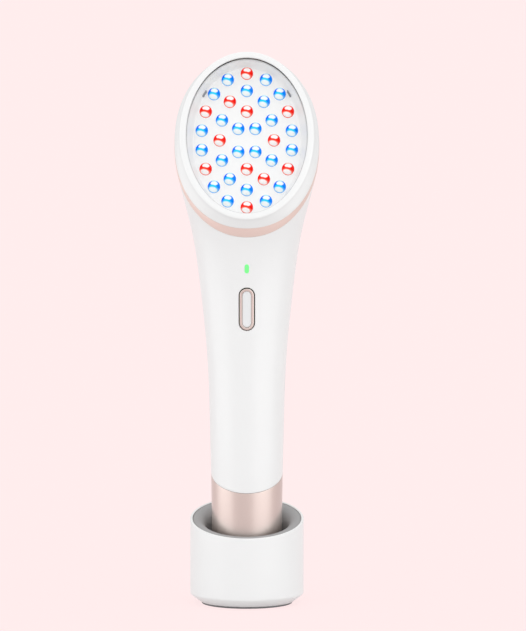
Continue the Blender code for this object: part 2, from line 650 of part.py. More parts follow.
def face_point(depth, height):
    """World y and z of a place behind the face plane, at a height along it from the middle."""
    return (FACE_CENTRE_Y + depth * math.cos(FACE_TILT) + height * math.sin(FACE_TILT),
            FACE_CENTRE_Z - depth * math.sin(FACE_TILT) + height * math.cos(FACE_TILT))


def face_ring(half_width, half_height, depth, drop=0.0, power=2.0):
    """An oval parallel to the face, at a depth behind it, its centre dropped along it."""
    flat = oval(half_width, half_height, FINE_STEPS, power)
    return np.column_stack([flat[:, 0], flat[:, 1] - drop, np.full(len(flat), -depth)])


# Bezel: the flat rim round the window, a rounded edge and a barrel side down to the gold ring
half_gap = GAP / 2
rim_half_width = WINDOW_HALF_WIDTH + RIM_WIDTH
rim_half_height = WINDOW_HALF_HEIGHT + RIM_WIDTH


def barrel_ring(depth_share, gain_share):
    """One oval of the bezel's side, part of the way from the rim to the ring."""
    power = 2.0 + (RING_TOP_POWER - 2.0) * depth_share
    return face_ring(rim_half_width + BEZEL_SIDE_GAIN * gain_share,
                     rim_half_height + BEZEL_END_GAIN * gain_share,
                     RING_TOP_DEPTH * depth_share, RING_TOP_DROP * depth_share, power)


tray_top_width = WINDOW_HALF_WIDTH + TRAY_SETBACK
tray_top_height = WINDOW_HALF_HEIGHT + TRAY_SETBACK
tray_top_depth = LIP_DEPTH + GAP
rim_corner = RIM_ROUNDING * RIM_CORNER_SHARE
bezel_mesh = loft("head_bezel", [
    face_ring(RING_HALF_WIDTH, RING_TOP_HALF_HEIGHT, RING_TOP_DEPTH - half_gap, RING_TOP_DROP,
              RING_TOP_POWER),
    *[barrel_ring(*shares) for shares in reversed(BARREL_SHARES)],
    face_ring(rim_half_width - RIM_ROUNDING, rim_half_height - RIM_ROUNDING, 0.0),
    face_ring(WINDOW_HALF_WIDTH + RIM_ROUNDING, WINDOW_HALF_HEIGHT + RIM_ROUNDING, 0.0),
    face_ring(WINDOW_HALF_WIDTH + rim_corner, WINDOW_HALF_HEIGHT + rim_corner, rim_corner),
    face_ring(WINDOW_HALF_WIDTH, WINDOW_HALF_HEIGHT, RIM_ROUNDING),
    face_ring(WINDOW_HALF_WIDTH, WINDOW_HALF_HEIGHT, LIP_DEPTH),
    face_ring(tray_top_width + TRAY_WALL + GAP, tray_top_height + TRAY_WALL + GAP, LIP_DEPTH),
    face_ring(RING_HALF_WIDTH - BEZEL_WALL, RING_TOP_HALF_HEIGHT - BEZEL_WALL,
              RING_TOP_DEPTH - half_gap, RING_TOP_DROP, RING_TOP_POWER),
])
place("head_bezel", bezel_mesh, white_shell, face_frame)

# Gold ring between bezel and casing, a little rounded outside
ring_low_depth = RING_TOP_DEPTH + RING_HEIGHT
ring_mesh = loft("trim_ring", [
    face_ring(RING_HALF_WIDTH - inset, half_height - inset, depth, drop, power)
    for inset, half_height, depth, drop, power in (
        (0.0, RING_TOP_HALF_HEIGHT, RING_TOP_DEPTH + half_gap, RING_TOP_DROP, RING_TOP_POWER),
        (RING_WALL, RING_TOP_HALF_HEIGHT, RING_TOP_DEPTH + half_gap, RING_TOP_DROP, RING_TOP_POWER),
        (RING_WALL, RING_LOW_HALF_HEIGHT, ring_low_depth - half_gap, RING_LOW_DROP, RING_LOW_POWER),
        (0.0, RING_LOW_HALF_HEIGHT, ring_low_depth - half_gap, RING_LOW_DROP, RING_LOW_POWER),
        (-RING_BULGE, (RING_TOP_HALF_HEIGHT + RING_LOW_HALF_HEIGHT) / 2, RING_TOP_DEPTH + RING_HEIGHT / 2,
         (RING_TOP_DROP + RING_LOW_DROP) / 2, (RING_TOP_POWER + RING_LOW_POWER) / 2),
    )
])
place("trim_ring", ring_mesh, rose_gold, face_frame)


def lamp_angles(count, half_width, half_height):
    """Angles from the top at which lamps stand the same arc length apart round an ellipse."""
    turns = np.linspace(0, math.tau, 3601)
    steps = np.hypot(np.diff(half_width * np.sin(turns)), np.diff(half_height * np.cos(turns)))
    travelled = np.concatenate([[0.0], np.cumsum(steps)])
    return np.interp(travelled[-1] * np.arange(count) / count, travelled, turns)


def on_oval(angle, half_width, half_height):
    """The place at an angle from the top of an oval, in the face's own x and y."""
    return half_width * math.sin(angle), half_height * math.cos(angle)


inner_turns = [0.0, INNER_LAMP_ANGLE, math.pi - INNER_LAMP_ANGLE]
middle_lamps, inner_lamps = [[half * share for half, share in zip(OUTER_LAMPS, shares)]
                             for shares in (MIDDLE_LAMP_SHARES, INNER_LAMP_SHARES)]
every_third = [i for i in range(OUTER_LAMP_COUNT) if i % 3 == 0]
lamp_rings = {
    "outer": (lamp_angles(OUTER_LAMP_COUNT, *OUTER_LAMPS), OUTER_LAMPS, every_third),
    "middle": (lamp_angles(MIDDLE_LAMP_COUNT, *middle_lamps), middle_lamps, [3, 5, 9, 11]),
    "inner": (inner_turns + [turn + math.pi for turn in inner_turns], inner_lamps, [0, 3]),
}

# Reflector tray: sloped wall, a hole for each lamp, posts at its back and a slot for each clip
tray_back = TRAY_DEPTH + TRAY_PLATE_THICKNESS
tray_mesh = loft("reflector_tray", [
    face_ring(TRAY_HALF_WIDTH, TRAY_HALF_HEIGHT, TRAY_DEPTH),
    face_ring(tray_top_width, tray_top_height, tray_top_depth),
    face_ring(tray_top_width + TRAY_WALL, tray_top_height + TRAY_WALL, tray_top_depth),
    face_ring(TRAY_HALF_WIDTH + TRAY_WALL, TRAY_HALF_HEIGHT + TRAY_WALL, tray_back),
], hollow=False)
reflector_tray = place("reflector_tray", tray_mesh, white_tray, face_frame)
all_places = [on_oval(angle, *axes) for angles, axes, red in lamp_rings.values() for angle in angles]
shape_with(reflector_tray, rods("lamp_holes", all_places, LAMP_HOLE_RADIUS, -tray_back - OVERRUN,
                                -TRAY_DEPTH + OVERRUN, face_frame, LAMP_STEPS), "DIFFERENCE")
lamp_foot = LAMP_CENTRE_DEPTH + LAMP_BODY_LENGTH
front_bus_depth = lamp_foot + BUS_CLEARANCE + BUS_RADIUS
led_board_front = front_bus_depth + BUS_RADIUS + GAP
led_board_back = led_board_front + LED_BOARD_THICKNESS
back_bus_depth = led_board_back + GAP + BUS_RADIUS
head_post_x, head_post_y = [half * share for half, share in zip((TRAY_HALF_WIDTH, TRAY_HALF_HEIGHT),
                                                                HEAD_POST_SHARES)]
head_posts = [(x, y) for x in (-head_post_x, head_post_x) for y in (-head_post_y, head_post_y)]
screw_end = led_board_back + GAP / 2 - HEAD_SCREW_LENGTH
shape_with(reflector_tray, rods("head_posts", head_posts, HEAD_POST_RADIUS, -led_board_front + GAP,
                                -TRAY_DEPTH - TRAY_PLATE_THICKNESS / 2, face_frame), "UNION")
shape_with(reflector_tray, rods("post_bores", head_posts, HEAD_SCREW_RADIUS + GAP,
                                -led_board_front - OVERRUN, -screw_end + GAP, face_frame), "DIFFERENCE")
clip_x, clip_y = on_oval(CLIP_ANGLE, TRAY_HALF_WIDTH, TRAY_HALF_HEIGHT)
clip_turn = math.atan2(-TRAY_HALF_HEIGHT * math.sin(CLIP_ANGLE), TRAY_HALF_WIDTH * math.cos(CLIP_ANGLE))
for side, mirror in (("left", -1), ("right", 1)):
    clip_frame = bpy.data.objects.new(f"clip_frame_{side}", None)
    parts.objects.link(clip_frame)
    clip_frame.parent = face_frame
    clip_frame.location = (clip_x * mirror, clip_y, 0.0)
    clip_frame.rotation_euler = (0.0, 0.0, clip_turn * mirror)
    box(f"tray_clip_{side}", (-CLIP_LENGTH / 2, -CLIP_THICKNESS / 2, -led_board_front + GAP),
        (CLIP_LENGTH / 2, CLIP_THICKNESS / 2, -TRAY_DEPTH + CLIP_RISE), clip_grey, clip_frame)
    slot = as_tool(box(
        f"clip_slot_{side}",
        (-CLIP_LENGTH / 2 - GAP, -CLIP_THICKNESS / 2 - GAP, -tray_back - OVERRUN),
        (CLIP_LENGTH / 2 + GAP, CLIP_THICKNESS / 2 + GAP, -TRAY_DEPTH + CLIP_RISE + GAP),
        tool_finish, clip_frame,
    ))
    shape_with(reflector_tray, slot, "DIFFERENCE")

# Board behind the tray, with holes for the red lamps' leads and for its four screws
led_board = prism("led_board", oval(LED_BOARD_HALF_WIDTH, LED_BOARD_HALF_HEIGHT, ROUND_STEPS),
                  -led_board_back, -led_board_front, board_green, face_frame)
lead_places = [on_oval(angles[i], axes[0] - LAMP_LEAD_OFFSET, axes[1] - LAMP_LEAD_OFFSET)
               for angles, axes, red in lamp_rings.values() for i in red]
shape_with(led_board, rods("lead_holes", lead_places, LAMP_LEAD_RADIUS + GAP, -led_board_back - OVERRUN,
                           -led_board_front + OVERRUN, face_frame, LEAD_STEPS), "DIFFERENCE")
shape_with(led_board, rods("board_holes", head_posts, HEAD_SCREW_RADIUS + GAP, -led_board_back - OVERRUN,
                           -led_board_front + OVERRUN, face_frame), "DIFFERENCE")
for i, (x, y) in enumerate(head_posts):
    head_low = -led_board_back - GAP / 2
    turned(f"head_screw_{i + 1}", [
        (0.0, -screw_end), (HEAD_SCREW_RADIUS, -screw_end), (HEAD_SCREW_RADIUS, head_low),
        (HEAD_SCREW_HEAD_RADIUS, head_low), (HEAD_SCREW_HEAD_RADIUS, head_low - HEAD_SCREW_RADIUS),
        (0.0, head_low - HEAD_SCREW_RADIUS),
    ], SMALL_STEPS, steel, (x, y, 0.0), face_frame)

# Lamps: domed bodies. Blue ones stand on a wire in front of the board, red ones have a lead
# through the board to a wire behind it
stub_end = front_bus_depth + BUS_RADIUS * BUS_SINK_SHARE
lead_end = back_bus_depth + BUS_RADIUS * BUS_SINK_SHARE
dome = [(LAMP_RADIUS * math.sin(turn), -LAMP_CENTRE_DEPTH + LAMP_RADIUS * math.cos(turn))
        for turn in np.linspace(0, math.pi / 2, LAMP_DOME_ROWS + 1)]
for ring_name, (angles, axes, red) in lamp_rings.items():
    for colour, finish in (("blue", lamp_blue), ("red", lamp_red)):
        chosen = [i for i in range(len(angles)) if (i in red) == (colour == "red")]
        lamp_shape = bmesh.new()
        for i in chosen:
            x, y = on_oval(angles[i], *axes)
            outline = dome + [(LAMP_RADIUS, -lamp_foot), (0.0, -lamp_foot)]
            if colour == "blue":
                outline[-1:] = [(LAMP_STUB_RADIUS, -lamp_foot), (LAMP_STUB_RADIUS, -stub_end),
                                (0.0, -stub_end)]
            points = [lamp_shape.verts.new((radius + x, y, height)) for radius, height in outline]
            edges = [lamp_shape.edges.new(pair) for pair in zip(points, points[1:])]
            bmesh.ops.spin(lamp_shape, geom=points + edges, cent=(x, y, 0.0), axis=(0.0, 0.0, 1.0),
                           angle=math.tau, steps=LAMP_STEPS)
        bmesh.ops.remove_doubles(lamp_shape, verts=lamp_shape.verts, dist=WELD_DISTANCE)
        bmesh.ops.recalc_face_normals(lamp_shape, faces=lamp_shape.faces)
        lamp_mesh = bpy.data.meshes.new(f"{ring_name}_{colour}_lamps")
        lamp_shape.to_mesh(lamp_mesh)
        lamp_shape.free()
        lamps = place(f"{ring_name}_{colour}_lamps", lamp_mesh, finish, face_frame)
        inset = LAMP_LEAD_OFFSET if colour == "red" else 0.0
        bus_depth = back_bus_depth if colour == "red" else front_bus_depth
        if colour == "red":
            leads = [on_oval(angles[i], axes[0] - inset, axes[1] - inset) for i in chosen]
            shape_with(lamps, rods(f"{ring_name}_leads", leads, LAMP_LEAD_RADIUS, -lead_end,
                                   -lamp_foot + LAMP_STUB_RADIUS, face_frame, LEAD_STEPS), "UNION")
        loop = [(*on_oval(turn, axes[0] - inset, axes[1] - inset), -bus_depth)
                for turn in np.linspace(0, math.tau, BUS_POINTS, endpoint=False)]
        bus = as_tool(wire(f"{ring_name}_{colour}_bus", loop, BUS_RADIUS, tool_finish, 0, True, face_frame))
        shape_with(lamps, bus, "UNION")


def bezier(a, b, c, d, t):
    """A point of a cubic Bezier line in the side view, as y and z."""
    return [(1 - t) ** 3 * p + 3 * (1 - t) ** 2 * t * q + 3 * (1 - t) * t ** 2 * r + t ** 3 * s
            for p, q, r, s in zip(a, b, c, d)]


# Side view of the casing: a front line and a back line, from the band's seam to the gold ring
case_ring_depth = ring_low_depth + half_gap
front_end = face_point(case_ring_depth, -RING_LOW_HALF_HEIGHT - RING_LOW_DROP)
back_end = face_point(case_ring_depth, RING_LOW_HALF_HEIGHT - RING_LOW_DROP)
seam_reach = HANDLE_RADIUS * math.tan(SEAM_SLANT)
front_start = (-HANDLE_RADIUS, SEAM_HEIGHT + half_gap - seam_reach)
back_start = (HANDLE_RADIUS, SEAM_HEIGHT + half_gap + seam_reach)
front_line = (front_start, (front_start[0], front_start[1] + FRONT_LOW_PULL),
              (front_end[0] + FRONT_TOP_PULL[0], front_end[1] + FRONT_TOP_PULL[1]), front_end)
back_line = (back_start, (back_start[0], back_start[1] + BACK_LOW_PULL),
             (back_end[0] + BACK_TOP_PULL[0], back_end[1] + BACK_TOP_PULL[1]), back_end)
flare_low = SEAM_HEIGHT + half_gap
flare_rise = (front_end[1] + back_end[1]) / 2 - flare_low
half_width_gain = RING_HALF_WIDTH - HANDLE_RADIUS


def smooth_step_table(places, values, at):
    """A smooth line through a table that only rises: cubic pieces with harmonic mean slopes."""
    x, y = np.array(places), np.array(values)
    rise = np.diff(y) / np.diff(x)
    inner = 2 * rise[:-1] * rise[1:] / (rise[:-1] + rise[1:])
    slopes = np.concatenate([[rise[0]], inner, [rise[-1]]])
    i = int(np.clip(np.searchsorted(x, at) - 1, 0, len(rise) - 1))
    step = x[i + 1] - x[i]
    u = (at - x[i]) / step
    return ((1 + 2 * u) * (1 - u) ** 2 * y[i] + u * (1 - u) ** 2 * step * slopes[i]
            + u ** 2 * (3 - 2 * u) * y[i + 1] + u ** 2 * (u - 1) * step * slopes[i + 1])


def wall_depth(line, t, towards):
    """How far a section plane runs through the wall at an edge line, towards the other line."""
    before, after = (np.array(bezier(*line, share)) for share in (max(t - CASE_TANGENT_SHARE, 0.0),
                                                                  min(t + CASE_TANGENT_SHARE, 1.0)))
    along = (after - before) / np.hypot(*(after - before))
    return CASE_WALL / abs(along[1] * towards[0] - along[0] * towards[1])


def case_section(t, side, inner=False):
    """Half of the casing's outline at a station, in a plane through its front and back points."""
    front, back = np.array(bezier(*front_line, t)), np.array(bezier(*back_line, t))
    towards = (back - front) / np.hypot(*(back - front))
    share = min(max(((front[1] + back[1]) / 2 - flare_low) / flare_rise, 0.0), 1.0)
    width = HANDLE_RADIUS + half_width_gain * smooth_step_table(
        FLARE_HEIGHT_SHARES, FLARE_WIDTH_SHARES, share)
    if inner:
        front = front + towards * wall_depth(front_line, t, towards)
        back = back - towards * wall_depth(back_line, t, towards)
        width -= CASE_WALL
    middle, reach = (front + back) / 2, (back - front) / 2
    power = 2.0 + (RING_LOW_POWER - 2.0) * share
    turns = np.linspace(0, math.pi, CASE_HALF_STEPS + 1)
    x = width * np.sign(np.cos(turns)) * np.abs(np.cos(turns)) ** (2 / power)
    along = side * np.abs(np.sin(turns)) ** (2 / power)
    parting = side * half_gap * towards
    return np.column_stack([x, middle[0] + along * reach[0] + parting[0],
                            middle[1] + along * reach[1] + parting[1]])


def case_half(name, side):
    """One casing half: its outer and inner outlines joined into a wall, station by station."""
    rows = []
    for t in np.linspace(0, 1, CASE_STATIONS + 1):
        rows.append([*case_section(t, side), *case_section(t, side, inner=True)[::-1]])
    return place(name, loft(name, rows, hollow=False), white_shell)


front_shell = case_half("front_shell", -1)
case_half("rear_shell", 1)


def on_front(height):
    """World y of the casing's front line at a height, and its lean there."""
    samples = np.array([bezier(*front_line, t) for t in np.linspace(0, 1, 801)])
    y = float(np.interp(height, samples[:, 1], samples[:, 0]))
    above = float(np.interp(height + OVERRUN, samples[:, 1], samples[:, 0]))
    return y - half_gap, math.atan2(y - above, OVERRUN)


# Button: gold ring in a slot of the front shell, and a pad that slides in it with its flange behind
indicator_height = front_end[1] - INDICATOR_BELOW_RING
button_height = indicator_height - BUTTON_BELOW_INDICATOR
button_y, button_lean = on_front(button_height)
button_frame = frame_at("button_frame", (0.0, button_y, button_height), math.pi / 2 + button_lean)
button_slot = as_tool(prism("button_slot", stadium(BUTTON_CUT_WIDTH, BUTTON_CUT_LENGTH),
                            -CASE_WALL - OVERRUN, OVERRUN, tool_finish, button_frame))
shape_with(front_shell, button_slot, "DIFFERENCE")
ring_width, ring_length = BUTTON_CUT_WIDTH - 2 * GAP, BUTTON_CUT_LENGTH - 2 * GAP
hole_width, hole_length = ring_width - 2 * BUTTON_RING_WIDTH, ring_length - 2 * BUTTON_RING_WIDTH
prism("button_ring", stadium(ring_width, ring_length), -CASE_WALL, BUTTON_RING_PROUD, rose_gold,
      button_frame, [stadium(hole_width, hole_length)])
flange_top = CASE_WALL + GAP
flange_bottom = flange_top + BUTTON_FLANGE_THICKNESS
button_pad = prism("button_pad", stadium(hole_width - 2 * GAP, hole_length - 2 * GAP),
                   -flange_bottom, -BUTTON_PAD_SUNK, button_grey, button_frame)
pad_flange = as_tool(prism(
    "pad_flange", stadium(hole_width + BUTTON_FLANGE * 2, hole_length + BUTTON_FLANGE * 2),
    -flange_bottom - BUTTON_FLANGE_THICKNESS / 2, -flange_top, tool_finish, button_frame))
shape_with(button_pad, pad_flange, "UNION")

# Switch on the control board, its well open to the plunger that stands on the pad
board_front_y = button_y + BUTTON_TO_BOARD
board_back_y = board_front_y + CONTROL_BOARD_THICKNESS
switch_top_y = board_front_y - GAP - SWITCH_HEIGHT
switch_depth = (switch_top_y - button_y) / math.cos(button_lean)
plunger_top = flange_bottom + BUTTON_FLANGE_THICKNESS / 2 + GAP
plunger_low = switch_depth + PLUNGER_REACH
turned("switch_plunger", [(0.0, -plunger_top), (PLUNGER_RADIUS, -plunger_top),
                          (PLUNGER_RADIUS, -plunger_low), (0.0, -plunger_low)],
       SMALL_STEPS, cable_black, (0.0, 0.0, 0.0), button_frame)
switch_rise = switch_depth * math.sin(button_lean)
switch_frame = frame_at("switch_frame", (0.0, switch_top_y, button_height + switch_rise), math.pi / 2)
tact_switch = box("tact_switch", (-SWITCH_SIDE / 2, -SWITCH_SIDE / 2, -SWITCH_HEIGHT),
                  (SWITCH_SIDE / 2, SWITCH_SIDE / 2, 0.0), cable_black, switch_frame)
well_depth = PLUNGER_REACH + BUTTON_TRAVEL + GAP
shape_with(tact_switch, rods("switch_well", [(0.0, 0.0)], PLUNGER_RADIUS + GAP, -well_depth, OVERRUN,
                             switch_frame), "DIFFERENCE")

# Indicator: a light pipe through the shell, and the lamp on the board behind it
indicator_y, indicator_lean = on_front(indicator_height)
indicator_frame = frame_at("indicator_frame", (0.0, indicator_y, indicator_height),
                           math.pi / 2 + indicator_lean)
pipe_slot = as_tool(prism("pipe_slot", stadium(INDICATOR_WIDTH + GAP, INDICATOR_LENGTH + GAP),
                          -CASE_WALL - OVERRUN, OVERRUN, tool_finish, indicator_frame))
shape_with(front_shell, pipe_slot, "DIFFERENCE")
indicator_lamp_back = board_front_y - GAP
indicator_lamp_front = indicator_lamp_back - INDICATOR_LAMP_DEPTH
pipe_length = (indicator_lamp_front - GAP - indicator_y) / math.cos(indicator_lean)
prism("indicator_window", stadium(INDICATOR_WIDTH, INDICATOR_LENGTH), -pipe_length + GAP,
      INDICATOR_PROUD, lamp_green, indicator_frame)
indicator_lamp_z = indicator_height + pipe_length * math.sin(indicator_lean)
half_lamp_width, half_lamp_height = INDICATOR_LAMP_WIDTH / 2, INDICATOR_LAMP_HEIGHT / 2
box("indicator_lamp", (-half_lamp_width, indicator_lamp_front, indicator_lamp_z - half_lamp_height),
    (half_lamp_width, indicator_lamp_back, indicator_lamp_z + half_lamp_height), lamp_green)

# Control board, screwed to a chassis whose two walls hold the battery
chassis_low = SEAM_HEIGHT + CHASSIS_OVER_SEAM
board_low = chassis_low + CONTROL_BOARD_LIFT
board_top = indicator_height + CONTROL_BOARD_OVER_INDICATOR
chassis_top = board_top - CHASSIS_UNDER_BOARD_TOP
board_screw_x = CONTROL_BOARD_WIDTH / 2 - BOARD_SCREW_SIDE_INSET
board_screws = [(-board_screw_x, board_low + BOARD_SCREW_END_INSET),
                (board_screw_x, chassis_top - BOARD_SCREW_END_INSET)]
board_frame = frame_at("board_frame", (0.0, board_front_y, 0.0), math.pi / 2)
control_board = box(
    "control_board", (-CONTROL_BOARD_WIDTH / 2, board_low, -CONTROL_BOARD_THICKNESS),
    (CONTROL_BOARD_WIDTH / 2, board_top, 0.0), board_green, board_frame)
chassis_front_y = board_back_y + GAP
chassis_back_y = chassis_front_y + CHASSIS_PLATE
battery_low = chassis_low + BATTERY_FOOT_CLEARANCE
battery_top = chassis_top - BATTERY_TOP_CLEARANCE
low_wall_top = battery_low - GAP
top_wall_low = battery_top + BATTERY_TIP_HEIGHT + GAP
side_outline = [
    (chassis_front_y, chassis_low), (chassis_back_y, chassis_low),
    (chassis_back_y, low_wall_top - CHASSIS_WALL), (CHASSIS_WALL_REACH, low_wall_top - CHASSIS_WALL),
    (CHASSIS_WALL_REACH, low_wall_top), (chassis_back_y, low_wall_top),
    (chassis_back_y, top_wall_low), (CHASSIS_WALL_REACH, top_wall_low),
    (CHASSIS_WALL_REACH, top_wall_low + CHASSIS_WALL), (chassis_back_y, top_wall_low + CHASSIS_WALL),
    (chassis_back_y, chassis_top), (chassis_front_y, chassis_top),
]
chassis = prism("chassis", side_outline, -CHASSIS_WIDTH / 2, CHASSIS_WIDTH / 2, frame_plastic)
chassis.rotation_euler = (math.pi / 2, 0.0, math.pi / 2)
for tool_name, part, reach in (("board_screw_holes", control_board, CONTROL_BOARD_THICKNESS + OVERRUN),
                               ("chassis_screw_holes", chassis, OVERRUN * 4)):
    shape_with(part, rods(tool_name, board_screws, BOARD_SCREW_RADIUS + GAP, -reach, OVERRUN,
                          board_frame), "DIFFERENCE")
for i, (x, z) in enumerate(board_screws):
    turned(f"board_screw_{i + 1}", [
        (0.0, half_gap + BOARD_SCREW_RADIUS), (BOARD_SCREW_HEAD_RADIUS, half_gap + BOARD_SCREW_RADIUS),
        (BOARD_SCREW_HEAD_RADIUS, half_gap), (BOARD_SCREW_RADIUS, half_gap),
        (BOARD_SCREW_RADIUS, -BOARD_SCREW_LENGTH), (0.0, -BOARD_SCREW_LENGTH),
    ], SMALL_STEPS, steel, (x, z, 0.0), board_frame)

turned("battery", [
    (0.0, battery_top + BATTERY_TIP_HEIGHT), (BATTERY_TIP_RADIUS, battery_top + BATTERY_TIP_HEIGHT),
    (BATTERY_TIP_RADIUS, battery_top), (BATTERY_RADIUS - BATTERY_EDGE, battery_top),
    (BATTERY_RADIUS, battery_top - BATTERY_EDGE), (BATTERY_RADIUS, battery_low + BATTERY_EDGE),
    (BATTERY_RADIUS - BATTERY_EDGE, battery_low), (0.0, battery_low),
], BATTERY_STEPS, battery_wrap, (0.0, BATTERY_CENTRE_Y, 0.0))


def band_ring(radius, on_seam):
    """A circle of the gold band, level at the bottom, or lying in the slanted seam's plane at the top."""
    turns = np.linspace(0, math.tau, ROUND_STEPS, endpoint=False)
    x, y = radius * np.cos(turns), radius * np.sin(turns)
    seam = SEAM_HEIGHT - half_gap + y * math.tan(SEAM_SLANT)
    return np.column_stack([x, y, seam if on_seam else np.full(ROUND_STEPS, device_low)])


# Rose gold band, a little narrower at its foot
band_low_radius = HANDLE_RADIUS - BAND_TAPER
band_inner_radius = band_low_radius - BAND_WALL
band_mesh = loft("metal_band", [
    band_ring(band_low_radius, False), band_ring(HANDLE_RADIUS, True),
    band_ring(HANDLE_RADIUS - BAND_WALL, True), band_ring(band_inner_radius, False),
])
place("metal_band", band_mesh, rose_gold)

# End cap in the band, with a groove for its seal and a well for each contact pad
cap_radius = band_inner_radius - GAP
cap_top = device_low + CAP_HEIGHT
groove_low = device_low + CAP_HEIGHT / 2 - SEAL_SECTION_RADIUS - GAP
groove_top = device_low + CAP_HEIGHT / 2 + SEAL_SECTION_RADIUS + GAP
groove_radius = cap_radius - 2 * SEAL_SECTION_RADIUS - GAP
end_cap = turned("end_cap", [
    (0.0, cap_top), (cap_radius, cap_top), (cap_radius, groove_top), (groove_radius, groove_top),
    (groove_radius, groove_low), (cap_radius, groove_low), (cap_radius, device_low), (0.0, device_low),
], ROUND_STEPS, cover_plastic)
shape_with(end_cap, rods("pad_wells", pin_places, PAD_RADIUS + GAP, device_low - OVERRUN,
                         cap_top + OVERRUN), "DIFFERENCE")
seal_radius = cap_radius - SEAL_SECTION_RADIUS
seal_line = [(seal_radius * math.cos(turn), seal_radius * math.sin(turn), device_low + CAP_HEIGHT / 2)
             for turn in np.linspace(0, math.tau, SEAL_STEPS, endpoint=False)]
wire("end_seal", seal_line, SEAL_SECTION_RADIUS, foot_rubber, 1, True)

# Contact pads, and the wire that runs from each up to the control board
pad_top = pad_low + PAD_HEIGHT
wire_y = board_front_y + CONTROL_BOARD_THICKNESS / 2
for side, (x, y) in zip(("left", "right"), pin_places):
    turned(f"contact_pad_{side}", [(0.0, pad_top), (PAD_RADIUS, pad_top), (PAD_RADIUS, pad_low),
                                   (0.0, pad_low)], PAD_STEPS, gold_contact, (x, y, 0.0))
    wire_low, wire_top = pad_top + GAP, board_low - GAP
    route = [(x, wire_y * reach, wire_low + (wire_top - wire_low) * rise)
             for rise, reach in zip(WIRE_RISE_SHARES, WIRE_REACH_SHARES)]
    wire(f"charge_wire_{side}", smooth_route(route, WIRE_POINTS), WIRE_RADIUS, cable_black, 1)

# Cable from the control board's top edge to the back of the lamp board
cable_end = face_point(led_board_back + GAP, -CABLE_MEETS_BOARD)
cable_straight = face_point(led_board_back + CABLE_REACH, -CABLE_MEETS_BOARD)
cable_low = board_top + GAP
cable_drop = cable_end[1] - cable_low
cable_steps = [CABLE_REACH * share for share in CABLE_FORWARD_SHARES]
cable_near = cable_straight[0] - wire_y + CABLE_REACH * CABLE_NEAR_SHARE
cable_route = [(0.0, wire_y + step, cable_low + cable_drop * rise)
               for step, rise in zip((*cable_steps, cable_near), CABLE_RISE_SHARES)]
cable_route += [(0.0, *cable_straight), (0.0, *cable_end)]
wire("led_cable", smooth_route(cable_route, CABLE_POINTS), CABLE_RADIUS, cable_black, 1)
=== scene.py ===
"""Acne light therapy device standing in its charging base: its surfaces, finishes and lighting.

Sizes are in millimetres and become metres where a surface is made; only the lights and the camera
are placed in metres. The object faces -Y, +Z is up.
"""
import math

import bmesh
import bpy
import numpy as np
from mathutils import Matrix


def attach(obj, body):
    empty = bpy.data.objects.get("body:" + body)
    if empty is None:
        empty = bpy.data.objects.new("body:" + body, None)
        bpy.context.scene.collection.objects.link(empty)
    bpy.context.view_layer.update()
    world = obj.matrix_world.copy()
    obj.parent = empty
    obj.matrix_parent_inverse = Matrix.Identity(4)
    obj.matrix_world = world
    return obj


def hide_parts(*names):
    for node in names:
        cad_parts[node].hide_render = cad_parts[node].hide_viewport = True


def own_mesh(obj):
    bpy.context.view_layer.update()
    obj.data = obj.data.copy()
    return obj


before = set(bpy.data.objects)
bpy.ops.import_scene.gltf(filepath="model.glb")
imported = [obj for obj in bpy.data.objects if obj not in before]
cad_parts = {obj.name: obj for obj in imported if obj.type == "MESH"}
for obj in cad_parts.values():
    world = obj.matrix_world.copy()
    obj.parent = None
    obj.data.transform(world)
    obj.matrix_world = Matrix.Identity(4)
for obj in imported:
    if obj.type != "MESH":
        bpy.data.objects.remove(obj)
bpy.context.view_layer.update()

# Rubber foot: a soft grey disc glued under the base, so that the light plastic doesn't slide.
# Its edge is a little rounded and its surface is dull, with a fine moulded grain.
FOOT_RADIUS, FOOT_HEIGHT, FOOT_EDGE = 18.6, 0.7, 0.2
MM, MM_PER_METRE = 0.001, 1000.0
ROUND_COLUMNS = 192
WELD_METRES = 5e-7
SHARP_ANGLE = math.radians(32)
CLOUDS_PER_METRE = 55.0


def skin(name, *grids):
    """A closed mesh of one or more grids of points in mm, each (rows, columns, 3) or a stack of such.

    Every four neighbouring points make a face. A row or column that comes back on itself, or shrinks
    to a point, is welded there, and the faces are then turned outwards.
    """
    points, faces, start = [], [], 0
    for grid in grids:
        stack = np.asarray(grid, float).reshape(-1, *np.shape(grid)[-3:])
        count, rows, columns = stack.shape[:3]
        index = start + np.arange(count * rows * columns).reshape(count, rows, columns)
        corners = (index[:, :-1, :-1], index[:, :-1, 1:], index[:, 1:, 1:], index[:, 1:, :-1])
        faces.append(np.stack(corners, axis=-1).reshape(-1, 4))
        points.append(stack.reshape(-1, 3) * MM)
        start += count * rows * columns
    mesh = bpy.data.meshes.new(name)
    mesh.from_pydata(np.concatenate(points), [], np.concatenate(faces))
    shape = bmesh.new()
    shape.from_mesh(mesh)
    bmesh.ops.remove_doubles(shape, verts=shape.verts, dist=WELD_METRES)
    bmesh.ops.recalc_face_normals(shape, faces=shape.faces)
    shape.to_mesh(mesh)
    shape.free()
    mesh.shade_smooth()
    mesh.set_sharp_from_angle(angle=SHARP_ANGLE)
    piece = bpy.data.objects.new(name, mesh)
    bpy.context.scene.collection.objects.link(piece)
    return piece


